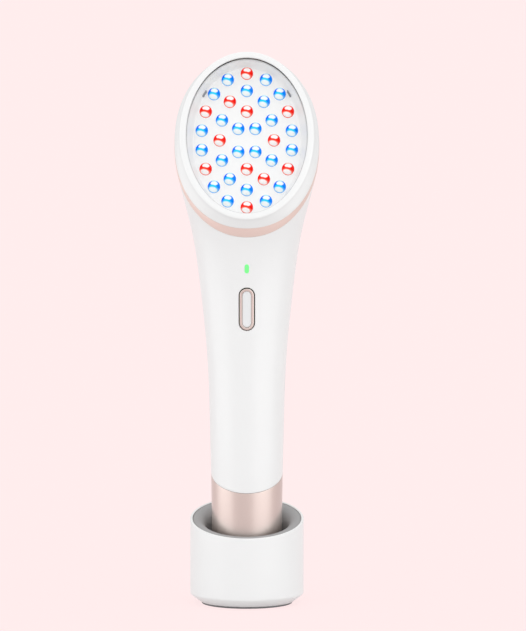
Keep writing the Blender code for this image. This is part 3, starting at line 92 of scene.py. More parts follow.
def rounded(profile, radii, steps=5, hold_share=0.3, same_place=1e-6, no_length=1e-9):
    """A profile with its corners rounded: each becomes the curve (1-t)^2 a + 2t(1-t) b + t^2 c.

    The corner is b, and a and c lie a radius away from it along its two sides. A holding point this
    share of a radius beyond each of them keeps the flat sides flat in shading. A radius of 0 keeps the
    corner sharp, and points that fall in the same place become one.
    """
    corner = np.asarray(profile, float)
    radius = np.asarray(radii, float)[:, None]
    back, ahead = np.roll(corner, 1, axis=0) - corner, np.roll(corner, -1, axis=0) - corner
    back /= np.maximum(np.linalg.norm(back, axis=1, keepdims=True), no_length)
    ahead /= np.maximum(np.linalg.norm(ahead, axis=1, keepdims=True), no_length)
    t = np.linspace(0, 1, steps + 1)[None, :, None]
    first, last = (corner + back * radius)[:, None], (corner + ahead * radius)[:, None]
    arc = (1 - t) ** 2 * first + 2 * t * (1 - t) * corner[:, None] + t ** 2 * last
    hold = hold_share * radius[:, None]
    rows = np.concatenate([first + back[:, None] * hold, arc, last + ahead[:, None] * hold], axis=1)
    rows = rows.reshape(-1, corner.shape[1])
    moved = np.linalg.norm(np.diff(rows, axis=0), axis=1) > same_place
    return rows[np.concatenate([[True], moved])]


def turned(profile, columns=ROUND_COLUMNS, centre=(0.0, 0.0)):
    """Rows of a turned surface: x = X + r cos a, y = Y + r sin a, z = h + slope y for each (r, h, slope).

    The slope tips a profile point's circle, as on the slanted rims of the base and the band.
    """
    radius, height, slope = np.asarray(profile, float).T[:, :, None]
    angle = np.linspace(0, math.tau, columns + 1)
    x, y = centre[0] + radius * np.cos(angle), centre[1] + radius * np.sin(angle)
    return np.stack([x, y, height + slope * y], axis=-1)


def feed(tree, node, inputs):
    """Feed a node's inputs, given by name or number: an output is linked to one, a value is set."""
    for socket, source in inputs.items():
        if isinstance(source, bpy.types.NodeSocket):
            tree.links.new(source, node.inputs[socket])
        else:
            node.inputs[socket].default_value = source


def add(tree, kind, inputs=None, **settings):
    """A new shader node of a kind in a node tree, with its settings and what its inputs are fed."""
    node = tree.nodes.new(f"ShaderNode{kind}")
    for setting, value in settings.items():
        setattr(node, setting, value)
    feed(tree, node, inputs or {})
    return node


def ramp(tree, amount, *stops):
    """The colour that a ramp gives for an amount, from its stops of (place, colour)."""
    node = add(tree, "ValToRGB", {"Fac": amount})
    elements = node.color_ramp.elements
    while len(elements) < len(stops):
        elements.new(1.0)
    for element, (place, colour) in zip(elements, stops):
        element.position = place
        element.color = (*colour, 1.0)
    return node.outputs["Color"]


def moulded(name, colour, roughness, mottle=0.015, grain=0.35, depth=0.004, gloss_change=0.04):
    """Moulded plastic or rubber: soft clouds in colour and gloss, and a fine grain over the surface.

    The colour runs from 1 - mottle to 1 + mottle times itself, and the roughness by the gloss change
    either way. The grain's size and depth are in mm.
    """
    finish = bpy.data.materials.new(name)
    finish.use_nodes = True
    tree = finish.node_tree
    place = add(tree, "TexCoord").outputs["Object"]
    clouds = add(tree, "TexNoise", {"Scale": CLOUDS_PER_METRE, "Detail": 3.0, "Vector": place})
    clouds = clouds.outputs["Fac"]
    low, high = (np.array(colour) * (1 + side * mottle) for side in (-1, 1))
    gloss = add(tree, "MapRange", {"To Min": roughness - gloss_change, "To Max": roughness + gloss_change,
                                   "Value": clouds})
    pores = add(tree, "TexNoise", {"Scale": MM_PER_METRE / grain, "Detail": 2.0, "Vector": place})
    bump = add(tree, "Bump", {"Distance": depth * MM, "Strength": 0.6, "Height": pores.outputs["Fac"]})
    feed(tree, tree.nodes["Principled BSDF"], {
        "Base Color": ramp(tree, clouds, (0.3, low), (0.7, high)),
        "Roughness": gloss.outputs["Result"], "Normal": bump.outputs["Normal"]})
    return finish


def fit(piece, finish, body, slot, *stands_for):
    """Give a piece its finish and its body, and hide the CAD nodes it stands for.

    The slot it is given is not used.
    """
    piece.data.materials.clear()
    piece.data.materials.append(finish)
    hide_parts(*stands_for)
    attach(piece, body)


rubber = moulded("soft_grey_rubber", (0.20, 0.20, 0.205), 0.72, 0.08, 0.25, 0.02)
foot = skin("rubber_foot", turned(rounded(
    [(0, 0, 0), (FOOT_RADIUS, 0, 0), (FOOT_RADIUS, FOOT_HEIGHT, 0), (0, FOOT_HEIGHT, 0)],
    (0, FOOT_EDGE, FOOT_EDGE, 0))))
fit(foot, rubber, "base", "foot_rubber", "base_foot")

# Base shell: the white outer wall of the charging base, moulded in one piece in satin plastic.
# A wide chamfer runs round its foot, and its rim is cut at a slant and rounded to a thin lip.
# The charging inlet looks out of a slot at the back.
BASE_RADIUS, BASE_INNER_RADIUS = 23.3, 21.1
CHAMFER_RADIUS, CHAMFER_TOP = 19.1, 3.9
SHELL_LOW = 0.76
RIM_HEIGHT, RIM_SLOPE = 35.1, math.tan(math.radians(13.7))
LIP_RADIUS, REBATE_HEIGHT = 22.3, 33.2
LEDGE_LOW, LEDGE_TOP, LEDGE_RADIUS, SEAT_RADIUS = 3.3, 4.8, 16.0, 17.6
SHELL_ROUNDINGS = (0, 0.7, 0.38, 0.34, 0, 0, 0.3, 0, 0, 0, 0, 0)
SOCKET_WIDTH, SOCKET_HEIGHT, SOCKET_Z, SOCKET_MOUTH_Y = 8.8, 3.2, 10.0, 21.877
SLOT_PLAY = 0.6
SLOT_TOOL = ((1.9, -4), (0, -4), (0, 0.55), (-0.25, 0.95), (-0.6, 1.2), (-0.6, 4), (1.9, 4))


def capsule(width, length, profile, straight_steps=10, arc_steps=16):
    """Rows round a slot with round ends, as (across, along, out) for each (inset, out) of the profile.

    The outline is r = width/2 - inset along two straight sides and two half circles: across = r cos a,
    along = r sin a plus or minus half the straight length.
    """
    inset, out = np.asarray(profile, float).T[:, :, None]
    side = np.linspace(-1, 1, straight_steps, endpoint=False)
    arc = np.linspace(0, math.pi, arc_steps, endpoint=False)
    ones = np.ones(arc_steps)
    cosine = np.concatenate([side * 0 + 1, np.cos(arc), side * 0 - 1, -np.cos(arc), [1.0]])
    sine = np.concatenate([side * 0, np.sin(arc), side * 0, -np.sin(arc), [0.0]])
    share = np.concatenate([side, ones, -side, -ones, [-1.0]])
    radius = width / 2 - inset
    across = radius * cosine
    along = share * (length - width) / 2 + radius * sine
    return np.stack([across, along, out + across * 0], axis=-1)


def facing_back(rows):
    """World places of (along, across, out) rows round the charging inlet, whose mouth looks backwards."""
    return np.stack([rows[..., 1], SOCKET_MOUTH_Y + rows[..., 2], SOCKET_Z + rows[..., 0]], axis=-1)


def cut(piece, tool):
    """Take a tool's volume out of a piece that has no finish yet, and throw the tool away."""
    step = piece.modifiers.new("cut", "BOOLEAN")
    step.operation = "DIFFERENCE"
    step.solver = "EXACT"
    step.object = tool
    bpy.context.view_layer.update()
    made = piece.evaluated_get(bpy.context.evaluated_depsgraph_get())
    mesh = bpy.data.meshes.new_from_object(made)
    piece.modifiers.clear()
    piece.data = mesh
    mesh.shade_smooth()
    mesh.set_sharp_from_angle(angle=SHARP_ANGLE)
    bpy.data.objects.remove(tool)


white_plastic = moulded("satin_white_plastic", (0.85, 0.856, 0.856), 0.34, 0.006, 0.3, 0.002)
shell_rows = rounded([
    (CHAMFER_RADIUS, SHELL_LOW, 0), (BASE_RADIUS, CHAMFER_TOP, 0), (BASE_RADIUS, RIM_HEIGHT, RIM_SLOPE),
    (LIP_RADIUS, RIM_HEIGHT, RIM_SLOPE), (LIP_RADIUS, REBATE_HEIGHT, RIM_SLOPE),
    (BASE_INNER_RADIUS, REBATE_HEIGHT, RIM_SLOPE), (BASE_INNER_RADIUS, LEDGE_TOP, 0),
    (LEDGE_RADIUS, LEDGE_TOP, 0), (LEDGE_RADIUS, LEDGE_LOW, 0), (SEAT_RADIUS, LEDGE_LOW, 0),
    (SEAT_RADIUS, SHELL_LOW, 0), (CHAMFER_RADIUS, SHELL_LOW, 0),
], SHELL_ROUNDINGS)
base_wall = skin("base_outer_wall", turned(shell_rows))
slot_rows = capsule(SOCKET_HEIGHT + SLOT_PLAY, SOCKET_WIDTH + SLOT_PLAY, SLOT_TOOL)
cut(base_wall, skin("inlet_slot", facing_back(slot_rows)))
fit(base_wall, white_plastic, "base", "white_shell", "base_shell")

# Cup liner: the grey insert that drops into the base. Its rim rolls over into the hole, its floor
# carries the device and lets the two pins through, and three posts under it take the screws.
CUP_RADIUS, CUP_OUTER_RADIUS, FLANGE_RADIUS, FLANGE_CORNER = 16.8, 18.3, 22.2, 20.8
FLOOR_LOW, FLOOR_TOP, CUP_SIDE_TOP, FLANGE_LOW, FLANGE_TOP = 18.8, 20.3, 32.0, 33.5, 34.85
LINER_ROUNDINGS = (0, 0.3, 0.3, 0.2, 0.1, 0.15, 5.0, 0.6, 0)
LINER_STEPS = 14
POST_CIRCLE, POST_RADIUS, BORE_RADIUS, POST_LOW, POST_TOP = 13.5, 2.5, 1.3, 3.3, 18.9
POST_ANGLES = np.radians([-90.0, 30.0, 150.0])
SMALL_COLUMNS = 32
PIN_X = 5.0
PIN_HOLE = ((0, 18, 0), (1.3, 18, 0), (1.3, 20.1, 0), (1.5, 20.3, 0), (1.5, 21, 0), (0, 21, 0))
grey_plastic = moulded("matt_grey_plastic", (0.35, 0.35, 0.355), 0.6, 0.03, 0.4, 0.006)
liner_rows = rounded([
    (0, FLOOR_LOW, 0), (CUP_OUTER_RADIUS, FLOOR_LOW, 0), (CUP_OUTER_RADIUS, CUP_SIDE_TOP, RIM_SLOPE),
    (FLANGE_CORNER, FLANGE_LOW, RIM_SLOPE), (FLANGE_RADIUS, FLANGE_LOW, RIM_SLOPE),
    (FLANGE_RADIUS, FLANGE_TOP, RIM_SLOPE), (CUP_RADIUS, FLANGE_TOP, RIM_SLOPE),
    (CUP_RADIUS, FLOOR_TOP, 0), (0, FLOOR_TOP, 0),
], LINER_ROUNDINGS, LINER_STEPS)
liner = skin("cup_liner", turned(liner_rows))
pin_hole_tools = np.stack([turned(PIN_HOLE, SMALL_COLUMNS, (x, 0)) for x in (-PIN_X, PIN_X)])
cut(liner, skin("pin_holes", pin_hole_tools))
fit(liner, grey_plastic, "base", "grey_liner", "base_liner")
post_profile = [(BORE_RADIUS, POST_LOW, 0), (POST_RADIUS, POST_LOW, 0), (POST_RADIUS, POST_TOP, 0),
                (BORE_RADIUS, POST_TOP, 0), (BORE_RADIUS, POST_LOW, 0)]
post_centres = [(POST_CIRCLE * math.cos(a), POST_CIRCLE * math.sin(a)) for a in POST_ANGLES]
posts = skin("liner_posts", np.stack([turned(post_profile, SMALL_COLUMNS, centre)
                                      for centre in post_centres]))
posts.data.materials.append(grey_plastic)
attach(posts, "base")

# Works of the base: a bottom plate on three screws, a steel weight that keeps the tall device from
# tipping, the small charging board and the steel inlet that hangs under its back edge.
INLET_SHELL = ((1.6, -7), (0, -7), (0, -0.15), (0.12, 0), (0.4, 0), (0.5, -0.1), (0.5, -6.5), (1.6, -6.5))
TONGUE_THICKNESS, TONGUE_WIDTH = 0.7, 5.8
TONGUE = ((0.35, -6.75), (0, -6.75), (0, -0.65), (0.12, -0.5), (0.35, -0.5))


def metal(name, colour, roughness, grain=0.6, depth=0.004, gloss_change=0.05, darkest=0.965):
    """Bare or plated metal: a fine grain, with its size and depth in mm, in tint, gloss and surface.

    The colour goes down to its darkest share, and the roughness by the gloss change either way.
    """
    finish = bpy.data.materials.new(name)
    finish.use_nodes = True
    tree = finish.node_tree
    place = add(tree, "TexCoord").outputs["Object"]
    grit = add(tree, "TexNoise", {"Scale": MM_PER_METRE / grain, "Detail": 3.0, "Vector": place})
    grit = grit.outputs["Fac"]
    gloss = add(tree, "MapRange", {"To Min": roughness - gloss_change, "To Max": roughness + gloss_change,
                                   "Value": grit})
    bump = add(tree, "Bump", {"Distance": depth * MM, "Strength": 0.5, "Height": grit})
    feed(tree, tree.nodes["Principled BSDF"], {
        "Metallic": 1.0, "Roughness": gloss.outputs["Result"], "Normal": bump.outputs["Normal"],
        "Base Color": ramp(tree, grit, (0.35, darkest * np.array(colour)), (0.65, colour))})
    return finish


def dress(finish, *names):
    """Give CAD nodes that stay as they are their finish."""
    for name in names:
        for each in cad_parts[name].material_slots:
            each.material = finish


cover_plastic = moulded("pale_grey_plastic", (0.66, 0.66, 0.66), 0.5, 0.02, 0.4, 0.01)
board_lacquer = moulded("green_board_lacquer", (0.02, 0.14, 0.05), 0.32, 0.25, 1.2, 0.01, 0.08)
steel = metal("bright_steel", (0.56, 0.56, 0.57), 0.32)
dress(cover_plastic, "base_plate")
dress(steel, "base_screw_1", "base_screw_2", "base_screw_3", "ballast_weight")
dress(board_lacquer, "charge_board")
inlet = skin("steel_inlet", facing_back(capsule(SOCKET_HEIGHT, SOCKET_WIDTH, INLET_SHELL)),
             facing_back(capsule(TONGUE_THICKNESS, TONGUE_WIDTH, TONGUE)))
fit(inlet, steel, "base", "steel", "usb_socket")

# Charging pins: two sprung pins, turned in brass and gold plated. Each has a collar that stops it
# under the liner's floor and a tail inside its coil spring of steel wire, which it presses down.
PIN_PROFILE = ((0, 21.3), (0.45, 21.22), (0.8, 21.0), (1.0, 20.65), (1.0, 18.5), (1.7, 18.5),
               (1.7, 17.5), (0.6, 17.5), (0.6, 14.9), (0.45, 14.8), (0, 14.8))
SPRING_LOW, SPRING_LENGTH, SPRING_TURNS = 13.4, 3.8, 4
SPRING_RADIUS, SPRING_WIRE_RADIUS, SPRING_RISE, POINTS_PER_TURN = 1.2, 0.2, 3.4, 24
gold_plate = metal("gold_plating", (0.86, 0.62, 0.26), 0.2, 0.5, 0.002)


def tube(line, radius, steps=10):
    """Rows of a round wire along a line of points: p + r (n cos a + b sin a) at each point p.

    The directions n and b are square to the line, n also to a direction that lies off the line. The
    wire closes to a point at both ends.
    """
    line = np.asarray(line, float)
    along = np.gradient(line, axis=0)
    along /= np.linalg.norm(along, axis=1, keepdims=True)
    off_the_line = (0.31, 0.17, 0.93)
    first = np.cross(along, off_the_line)
    first /= np.linalg.norm(first, axis=1, keepdims=True)
    second = np.cross(along, first)
    turn = np.linspace(0, math.tau, steps + 1)[None, :, None]
    rows = line[:, None] + radius * (first[:, None] * np.cos(turn) + second[:, None] * np.sin(turn))
    ends = [np.repeat(line[i][None, None], steps + 1, axis=1) for i in (0, -1)]
    return np.concatenate([ends[0], rows, ends[1]])


coil_turn = np.linspace(0, math.tau * SPRING_TURNS, SPRING_TURNS * POINTS_PER_TURN + 1)
coil_height = SPRING_LOW + SPRING_WIRE_RADIUS + SPRING_RISE * coil_turn / coil_turn[-1]
for side, x in (("left", -PIN_X), ("right", PIN_X)):
    pin = skin(f"gold_pin_{side}", turned([(r, h, 0) for r, h in PIN_PROFILE], SMALL_COLUMNS, (x, 0)))
    fit(pin, gold_plate, f"pin_{side}", "gold_contact", f"contact_pin_{side}")
    coil_line = np.stack([x + SPRING_RADIUS * np.cos(coil_turn), SPRING_RADIUS * np.sin(coil_turn),
                          coil_height], axis=-1)
    coil = skin(f"pin_spring_{side}", tube(coil_line, SPRING_WIRE_RADIUS))
    fit(coil, steel, "base", "steel", f"contact_spring_{side}")
    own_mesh(coil)

# End of the handle: a plastic cap pushed into the gold band, sealed by a rubber ring, with the two
# gold pads that meet the pins and their wires up to the board.
dress(cover_plastic, "end_cap")
dress(rubber, "end_seal")
dress(gold_plate, "contact_pad_left", "contact_pad_right")
wire_sheath = moulded("black_wire_sheath", (0.02, 0.02, 0.021), 0.5, 0.1, 0.5, 0.01)
dress(wire_sheath, "charge_wire_left", "charge_wire_right", "led_cable")

# Rose gold band: a drawn metal sleeve at the foot of the handle, blasted to a satin, plated and
# lacquered. It narrows a little downwards, and its upper edge meets the white casing at a slant.
BAND_RADIUS, BAND_LOW_RADIUS, BAND_WALL, BAND_LOW = 14.7, 14.25, 1.2, 20.6
BAND_ROUNDINGS, BAND_COLUMNS = (0, 0.12, 0.1, 0.1, 0), 240
SEAM_HEIGHT, SEAM_SLOPE = 54.0, math.tan(math.radians(25.4))
rose_gold = metal("satin_rose_gold", (0.535, 0.45, 0.405), 0.43, 0.25, 0.003)
feed(rose_gold.node_tree, rose_gold.node_tree.nodes["Principled BSDF"],
     {"Coat Weight": 1.0, "Coat Roughness": 0.28, "Coat IOR": 2.5})
band_rows = rounded([
    (BAND_LOW_RADIUS, BAND_LOW, 0), (BAND_RADIUS, SEAM_HEIGHT, SEAM_SLOPE),
    (BAND_RADIUS - BAND_WALL, SEAM_HEIGHT, SEAM_SLOPE), (BAND_LOW_RADIUS - BAND_WALL, BAND_LOW, 0),
    (BAND_LOW_RADIUS, BAND_LOW, 0)], BAND_ROUNDINGS)
band = skin("rose_gold_band", turned(band_rows, BAND_COLUMNS))
fit(band, rose_gold, "device", "rose_gold", "metal_band")

# Works of the handle: battery and control board on a dark plastic chassis, with the button's switch
# and the indicator's lamp on the board.
frame_plastic = moulded("dark_frame_plastic", (0.035, 0.035, 0.037), 0.5, 0.05, 0.4, 0.01)
battery_film = moulded("blue_battery_film", (0.02, 0.07, 0.24), 0.28, 0.05, 3.0, 0.01)
dress(frame_plastic, "chassis")
dress(battery_film, "battery")
dress(board_lacquer, "control_board", "led_board")
dress(wire_sheath, "tact_switch", "switch_plunger")
dress(steel, "board_screw_1", "board_screw_2", *(f"head_screw_{i}" for i in range(1, 5)))

# White casing: two halves moulded in satin plastic, front and rear, that meet in a fine parting line
# at the sides. The round handle flares into the oval head, and the head's face leans back.
FACE_TILT = math.radians(25.0)
FACE_Y, FACE_Z = -12.3, 194.2
RING_HALF_WIDTH, RING_DEPTH = 29.5, 7.9
RING_LOW_HALF_HEIGHT, RING_LOW_DROP, RING_LOW_POWER = 38.4, 3.05, 2.05
CASE_WALL, CASE_LENGTH, CASE_EDGE, END_EDGE_SHARE = 1.8, 170, 0.22, 0.6
OUTER_PARTING, INNER_PARTING, SEAM_GAP, RING_GAP = 0.08, 0.005, 0.12, 0.06
FRONT_LOW_PULL, FRONT_TOP_PULL, BACK_LOW_PULL, BACK_TOP_PULL = (0, 73), (5.4, -10.7), (0, 45), (17, -5)
FLARE_HEIGHTS = np.array((0.0, 0.08, 0.257, 0.369, 0.546, 0.704, 0.768, 0.827, 0.889, 1.0))
FLARE_WIDTHS = np.array((0.0, 0.02, 0.06, 0.112, 0.265, 0.44, 0.535, 0.64, 0.765, 1.0))


def on_face(x, height, depth):
    """World places of points given across, up along the tilted face (h) and behind it (d).

    With the face's tilt T, y = Y + d cos T + h sin T and z = Z - d sin T + h cos T.
    """
    y = FACE_Y + depth * math.cos(FACE_TILT) + height * math.sin(FACE_TILT)
    z = FACE_Z - depth * math.sin(FACE_TILT) + height * math.cos(FACE_TILT)
    return np.stack(np.broadcast_arrays(x, y, z), axis=-1)


def bezier(line, t):
    """Points of the cubic curve (1-t)^3 a + 3(1-t)^2 t b + 3(1-t) t^2 c + t^3 d in the side view."""
    t = np.asarray(t, float)[:, None]
    a, b, c, d = np.asarray(line, float)
    return (1 - t) ** 3 * a + 3 * (1 - t) ** 2 * t * b + 3 * (1 - t) * t ** 2 * c + t ** 3 * d


def rising(places, values, at):
    """A smooth line that only rises through a table: cubic pieces with harmonic mean slopes."""
    rise = np.diff(values) / np.diff(places)
    slopes = np.concatenate([rise[:1], 2 * rise[:-1] * rise[1:] / (rise[:-1] + rise[1:]), rise[-1:]])
    i = np.clip(np.searchsorted(places, at) - 1, 0, len(rise) - 1)
    step = places[i + 1] - places[i]
    u = (at - places[i]) / step
    return ((1 + 2 * u) * (1 - u) ** 2 * values[i] + u * (1 - u) ** 2 * step * slopes[i]
            + u ** 2 * (3 - 2 * u) * values[i + 1] + u ** 2 * (u - 1) * step * slopes[i + 1])


seam_reach = BAND_RADIUS * SEAM_SLOPE
CASE_LOW = SEAM_HEIGHT + SEAM_GAP
front_end = on_face(0, -RING_LOW_HALF_HEIGHT - RING_LOW_DROP, RING_DEPTH + RING_GAP)[1:]
back_end = on_face(0, RING_LOW_HALF_HEIGHT - RING_LOW_DROP, RING_DEPTH + RING_GAP)[1:]
front_start = np.array((-BAND_RADIUS, CASE_LOW - seam_reach))
back_start = np.array((BAND_RADIUS, CASE_LOW + seam_reach))
front_line = (front_start, front_start + FRONT_LOW_PULL, front_end + FRONT_TOP_PULL, front_end)
back_line = (back_start, back_start + BACK_LOW_PULL, back_end + BACK_TOP_PULL, back_end)
flare_rise = (front_end[1] + back_end[1]) / 2 - CASE_LOW


def half_width(share):
    """The casing's half width at a share of its rise: the handle's, plus the flare's part of the gain."""
    return BAND_RADIUS + (RING_HALF_WIDTH - BAND_RADIUS) * rising(FLARE_HEIGHTS, FLARE_WIDTHS, share)


def case_wall(t, turn, side, inner, tangent_share=0.002):
    """One side of a casing half's wall: superellipses between the front and the back line.

    At station t the section's plane holds both lines' points, and half its depth is their half
    distance. The points are x = w sgn(cos)|cos|^(2/p) and reach |sin|^(2/p). The outer side rounds its
    edges by the circle 1 - sqrt(1 - u^2). The inner side is a wall's thickness smaller, and there the
    halves all but meet, so that no light comes through the parting line.
    """
    front, back = bezier(front_line, t), bezier(back_line, t)
    towards = (back - front) / np.linalg.norm(back - front, axis=1, keepdims=True)
    share = np.clip(((front[:, 1] + back[:, 1]) / 2 - CASE_LOW) / flare_rise, 0, 1)
    width = half_width(share)
    if inner:
        for line, ends, way in ((front_line, front, 1), (back_line, back, -1)):
            along = (bezier(line, np.minimum(t + tangent_share, 1))
                     - bezier(line, np.maximum(t - tangent_share, 0)))
            along /= np.linalg.norm(along, axis=1, keepdims=True)
            through = CASE_WALL / np.abs(along[:, 1] * towards[:, 0] - along[:, 0] * towards[:, 1])
            ends += way * towards * through[:, None]
        width = width - CASE_WALL
    else:
        from_end = np.clip(1 - np.minimum(t, (1 - t)) * CASE_LENGTH / CASE_EDGE, 0, 1)
        inset = CASE_EDGE * END_EDGE_SHARE * (1 - np.sqrt(1 - from_end ** 2))
        front, back = front + towards * inset[:, None], back - towards * inset[:, None]
        width = width - inset
    middle, reach = (front + back) / 2, np.linalg.norm(back - front, axis=1)[:, None] / 2
    power = (2.0 + (RING_LOW_POWER - 2.0) * share)[:, None]
    x = width[:, None] * np.sign(np.cos(turn)) * np.abs(np.cos(turn)) ** (2 / power)
    out = reach * np.abs(np.sin(turn)) ** (2 / power)
    if not inner:
        near = np.clip(1 - out / CASE_EDGE, 0, 1)
        x = x - np.sign(np.cos(turn)) * CASE_EDGE * (1 - np.sqrt(1 - near ** 2))
    out = side * (out + (INNER_PARTING if inner else OUTER_PARTING))
    return np.stack([x, middle[:, :1] + out * towards[:, :1], middle[:, 1:] + out * towards[:, 1:]], axis=-1)


def case_half(name, side):
    """A casing half: outer wall up, inner wall down, closed along the parting line and at both ends.

    Its stations t and its turns lie closer together towards the edges, which the outer wall rounds.
    """
    t = np.concatenate([[0, 0.0003, 0.0007, 0.0012], np.linspace(0.004, 0.996, 125),
                        [0.9988, 0.9993, 0.9997, 1.0]])
    near = np.array((0.0, 0.0008, 0.002, 0.004, 0.007, 0.012))
    turn = np.concatenate([near, np.linspace(0.03, math.pi - 0.03, 89), math.pi - near[::-1]])
    outer, inner = case_wall(t, turn, side, False), case_wall(t, turn, side, True)
    middle = (outer + inner) / 2
    outer, inner = (np.concatenate([middle[:, :1], wall, middle[:, -1:]], axis=1)
                    for wall in (outer, inner))
    return skin(name, np.concatenate([outer, inner[::-1], outer[:1]]))


front_casing = case_half("front_casing", -1)
rear_casing = case_half("rear_casing", 1)
fit(rear_casing, white_plastic, "device", "white_shell", "rear_shell")

# Button: a grey plastic pad in a rose gold metal ring, let into a slot of the front casing. Both
# follow the round of the handle, and a flange behind the casing keeps the pad from falling out.
BUTTON_BELOW_RING, INDICATOR_BELOW_RING = 30.1, 13.3
BUTTON_HEIGHT, INDICATOR_HEIGHT = front_end[1] - BUTTON_BELOW_RING, front_end[1] - INDICATOR_BELOW_RING
SLOT_WIDTH, SLOT_LENGTH, SLOT_EDGE = 6.6, 18.0, 0.25
PIPE_SLOT_WIDTH, PIPE_SLOT_LENGTH, PIPE_SLOT_EDGE = 1.75, 3.8, 0.1
SURROUND_WIDTH, SURROUND_LENGTH, SURROUND_ROUNDINGS = 5.8, 17.2, (0, 0.28, 0.2, 0, 0)
SURROUND = ((0, -1.8), (0, 0.25), (1.02, 0.2), (1.02, -1.8), (0, -1.8))
PAD_WIDTH, PAD_LENGTH, PAD_ROUNDINGS = 3.6, 15.0, (0, 0.1, 0.1, 0, 0.2, 0)
PAD = ((1.8, -2.9), (-1.0, -2.9), (-1.0, -2.1), (0, -2.1), (0, -0.16), (1.8, -0.16))


def on_case(rows, height, samples=2001):
    """Bend (across, along, out) rows over the casing's front at a height, and give their world places.

    The place leans with the front line there, and sinks by a^2/2R across and b^2/2S along, where R and
    S are the casing's two radii of curvature.
    """
    t = np.linspace(0, 1, samples)
    line, back = bezier(front_line, t), bezier(back_line, t)
    i = int(np.argmin(np.abs(line[:, 1] - height)))
    slope = np.gradient(line[:, 0], line[:, 1])
    lean = math.atan(-slope[i])
    share = ((line[i, 1] + back[i, 1]) / 2 - CASE_LOW) / flare_rise
    across_radius = half_width(np.array([share]))[0] ** 2 / (np.linalg.norm(back[i] - line[i]) / 2)
    along_bend = np.gradient(slope, line[:, 1])[i] * math.cos(lean) ** 3
    across, along, out = np.moveaxis(rows, -1, 0)
    out = out - across ** 2 / (2 * across_radius) - along_bend * along ** 2 / 2
    y = line[i, 0] - along * math.sin(lean) - out * math.cos(lean)
    z = height + along * math.cos(lean) - out * math.sin(lean)
    return np.stack([across, y, z], axis=-1)


def slot_tool(name, width, length, height, edge, under=-5, over=3):
    """A slot's cutting tool: straight sides that open out at the surface to round the slot's edge.

    The sides follow a quarter circle of the edge's radius there, whose middle point lies 0.13 of it
    from the side, and the tool reaches from under to over the surface.
    """
    return skin(name, on_case(capsule(width, length, [
        (width / 2, under), (0, under), (0, -edge), (-0.13 * edge, -0.5 * edge),
        (-0.5 * edge, -0.13 * edge), (-edge, 0), (-edge, over), (width / 2, over)]), height))


cut(front_casing, slot_tool("button_slot", SLOT_WIDTH, SLOT_LENGTH, BUTTON_HEIGHT, SLOT_EDGE))
cut(front_casing, slot_tool("indicator_slot", PIPE_SLOT_WIDTH, PIPE_SLOT_LENGTH, INDICATOR_HEIGHT,
                            PIPE_SLOT_EDGE))
fit(front_casing, white_plastic, "device", "white_shell", "front_shell")
surround_rows = capsule(SURROUND_WIDTH, SURROUND_LENGTH, rounded(SURROUND, SURROUND_ROUNDINGS))
button_surround = skin("gold_button_ring", on_case(surround_rows, BUTTON_HEIGHT))
fit(button_surround, rose_gold, "device", "rose_gold", "button_ring")
pad_rows = capsule(PAD_WIDTH, PAD_LENGTH, rounded(PAD, PAD_ROUNDINGS))
button_grey = moulded("soft_grey_button", (0.80, 0.81, 0.82), 0.42, 0.015, 0.3, 0.004)
button_face = skin("button_face", on_case(pad_rows, BUTTON_HEIGHT))
fit(button_face, button_grey, "button", "button_grey", "button_pad")

# Indicator: a short clear light pipe that ends in the casing above the button, lit green from the
# board. Its end is polished and a little domed.
PIPE_WIDTH, PIPE_LENGTH, PIPE_ROUNDINGS = 1.65, 3.7, (0, 0, 0.25, 0)
PIPE = ((0.825, -4.75), (0, -4.75), (0, 0.05), (0.825, 0.12))
green_glow = moulded("lit_green_pipe", (0.09, 0.45, 0.12), 0.25, 0.03, 0.8, 0.002)
feed(green_glow.node_tree, green_glow.node_tree.nodes["Principled BSDF"],
     {"Emission Color": (0.20, 1.0, 0.28, 1.0), "Emission Strength": 0.62})
dress(green_glow, "indicator_lamp")
pipe_rows = capsule(PIPE_WIDTH, PIPE_LENGTH, rounded(PIPE, PIPE_ROUNDINGS))
pipe = skin("indicator_pipe", on_case(pipe_rows, INDICATOR_HEIGHT))
fit(pipe, green_glow, "device", "lamp_green", "indicator_window")

# Reflector tray: a white moulded tray behind the light window, with a sloped wall, a hole for each
# of the 36 lamps, and four posts at its back that the lamp board is screwed to. Under the bezel's
# rim its wall is darkened by painted shade, for the little light that comes in there.
TRAY_DEPTH, TRAY_BACK, TRAY_ROUNDINGS = 8.0, 9.2, (0, 0.3, 0.15, 0.15, 0.9, 0)
TRAY_OVAL, TRAY_TOP_OVAL = (22.2, 32.0), (24.55, 33.2)
TRAY_TOP_DEPTH, TRAY_WALL, TRAY_EDGE = 1.5, 0.8, 0.35
TRAY_POSTS = [(x, y) for x in (-11.6, 11.6) for y in (-14.0, 14.0)]
TRAY_POST = ((0.9, 8.9), (1.8, 8.9), (1.8, 11.1), (0.9, 11.1), (0.9, 8.9))
LAMP_HOLE, LAMP_HOLE_COLUMNS = ((0, 12), (2.2, 12), (2.2, 6), (0, 6)), 40
OUTER_OVAL, MIDDLE_OVAL, INNER_OVAL = (18.6, 29.0), (11.104, 21.489), (3.8204, 12.499)


def round_face(profile, columns=240):
    """Rows of a surface round the window, as superellipses |x/a|^p + |(y+d)/b|^p = 1 in face planes.

    Each profile point gives half width a, half height b, depth, drop d and power p.
    """
    width, height, depth, drop, power = np.asarray(profile, float).T[:, :, None]
    turn = np.linspace(0, math.tau, columns + 1)
    cosine, sine = np.cos(turn), np.sin(turn)
    x = width * np.sign(cosine) * np.abs(cosine) ** (2 / power)
    y = height * np.sign(sine) * np.abs(sine) ** (2 / power) - drop
    return on_face(x, y, depth)


def face_rows(ovals, depth, drop, power):
    """Profile points for round_face, from the two half sizes of each oval and what goes with them."""
    return np.column_stack([ovals, depth, drop + depth * 0, power + depth * 0])


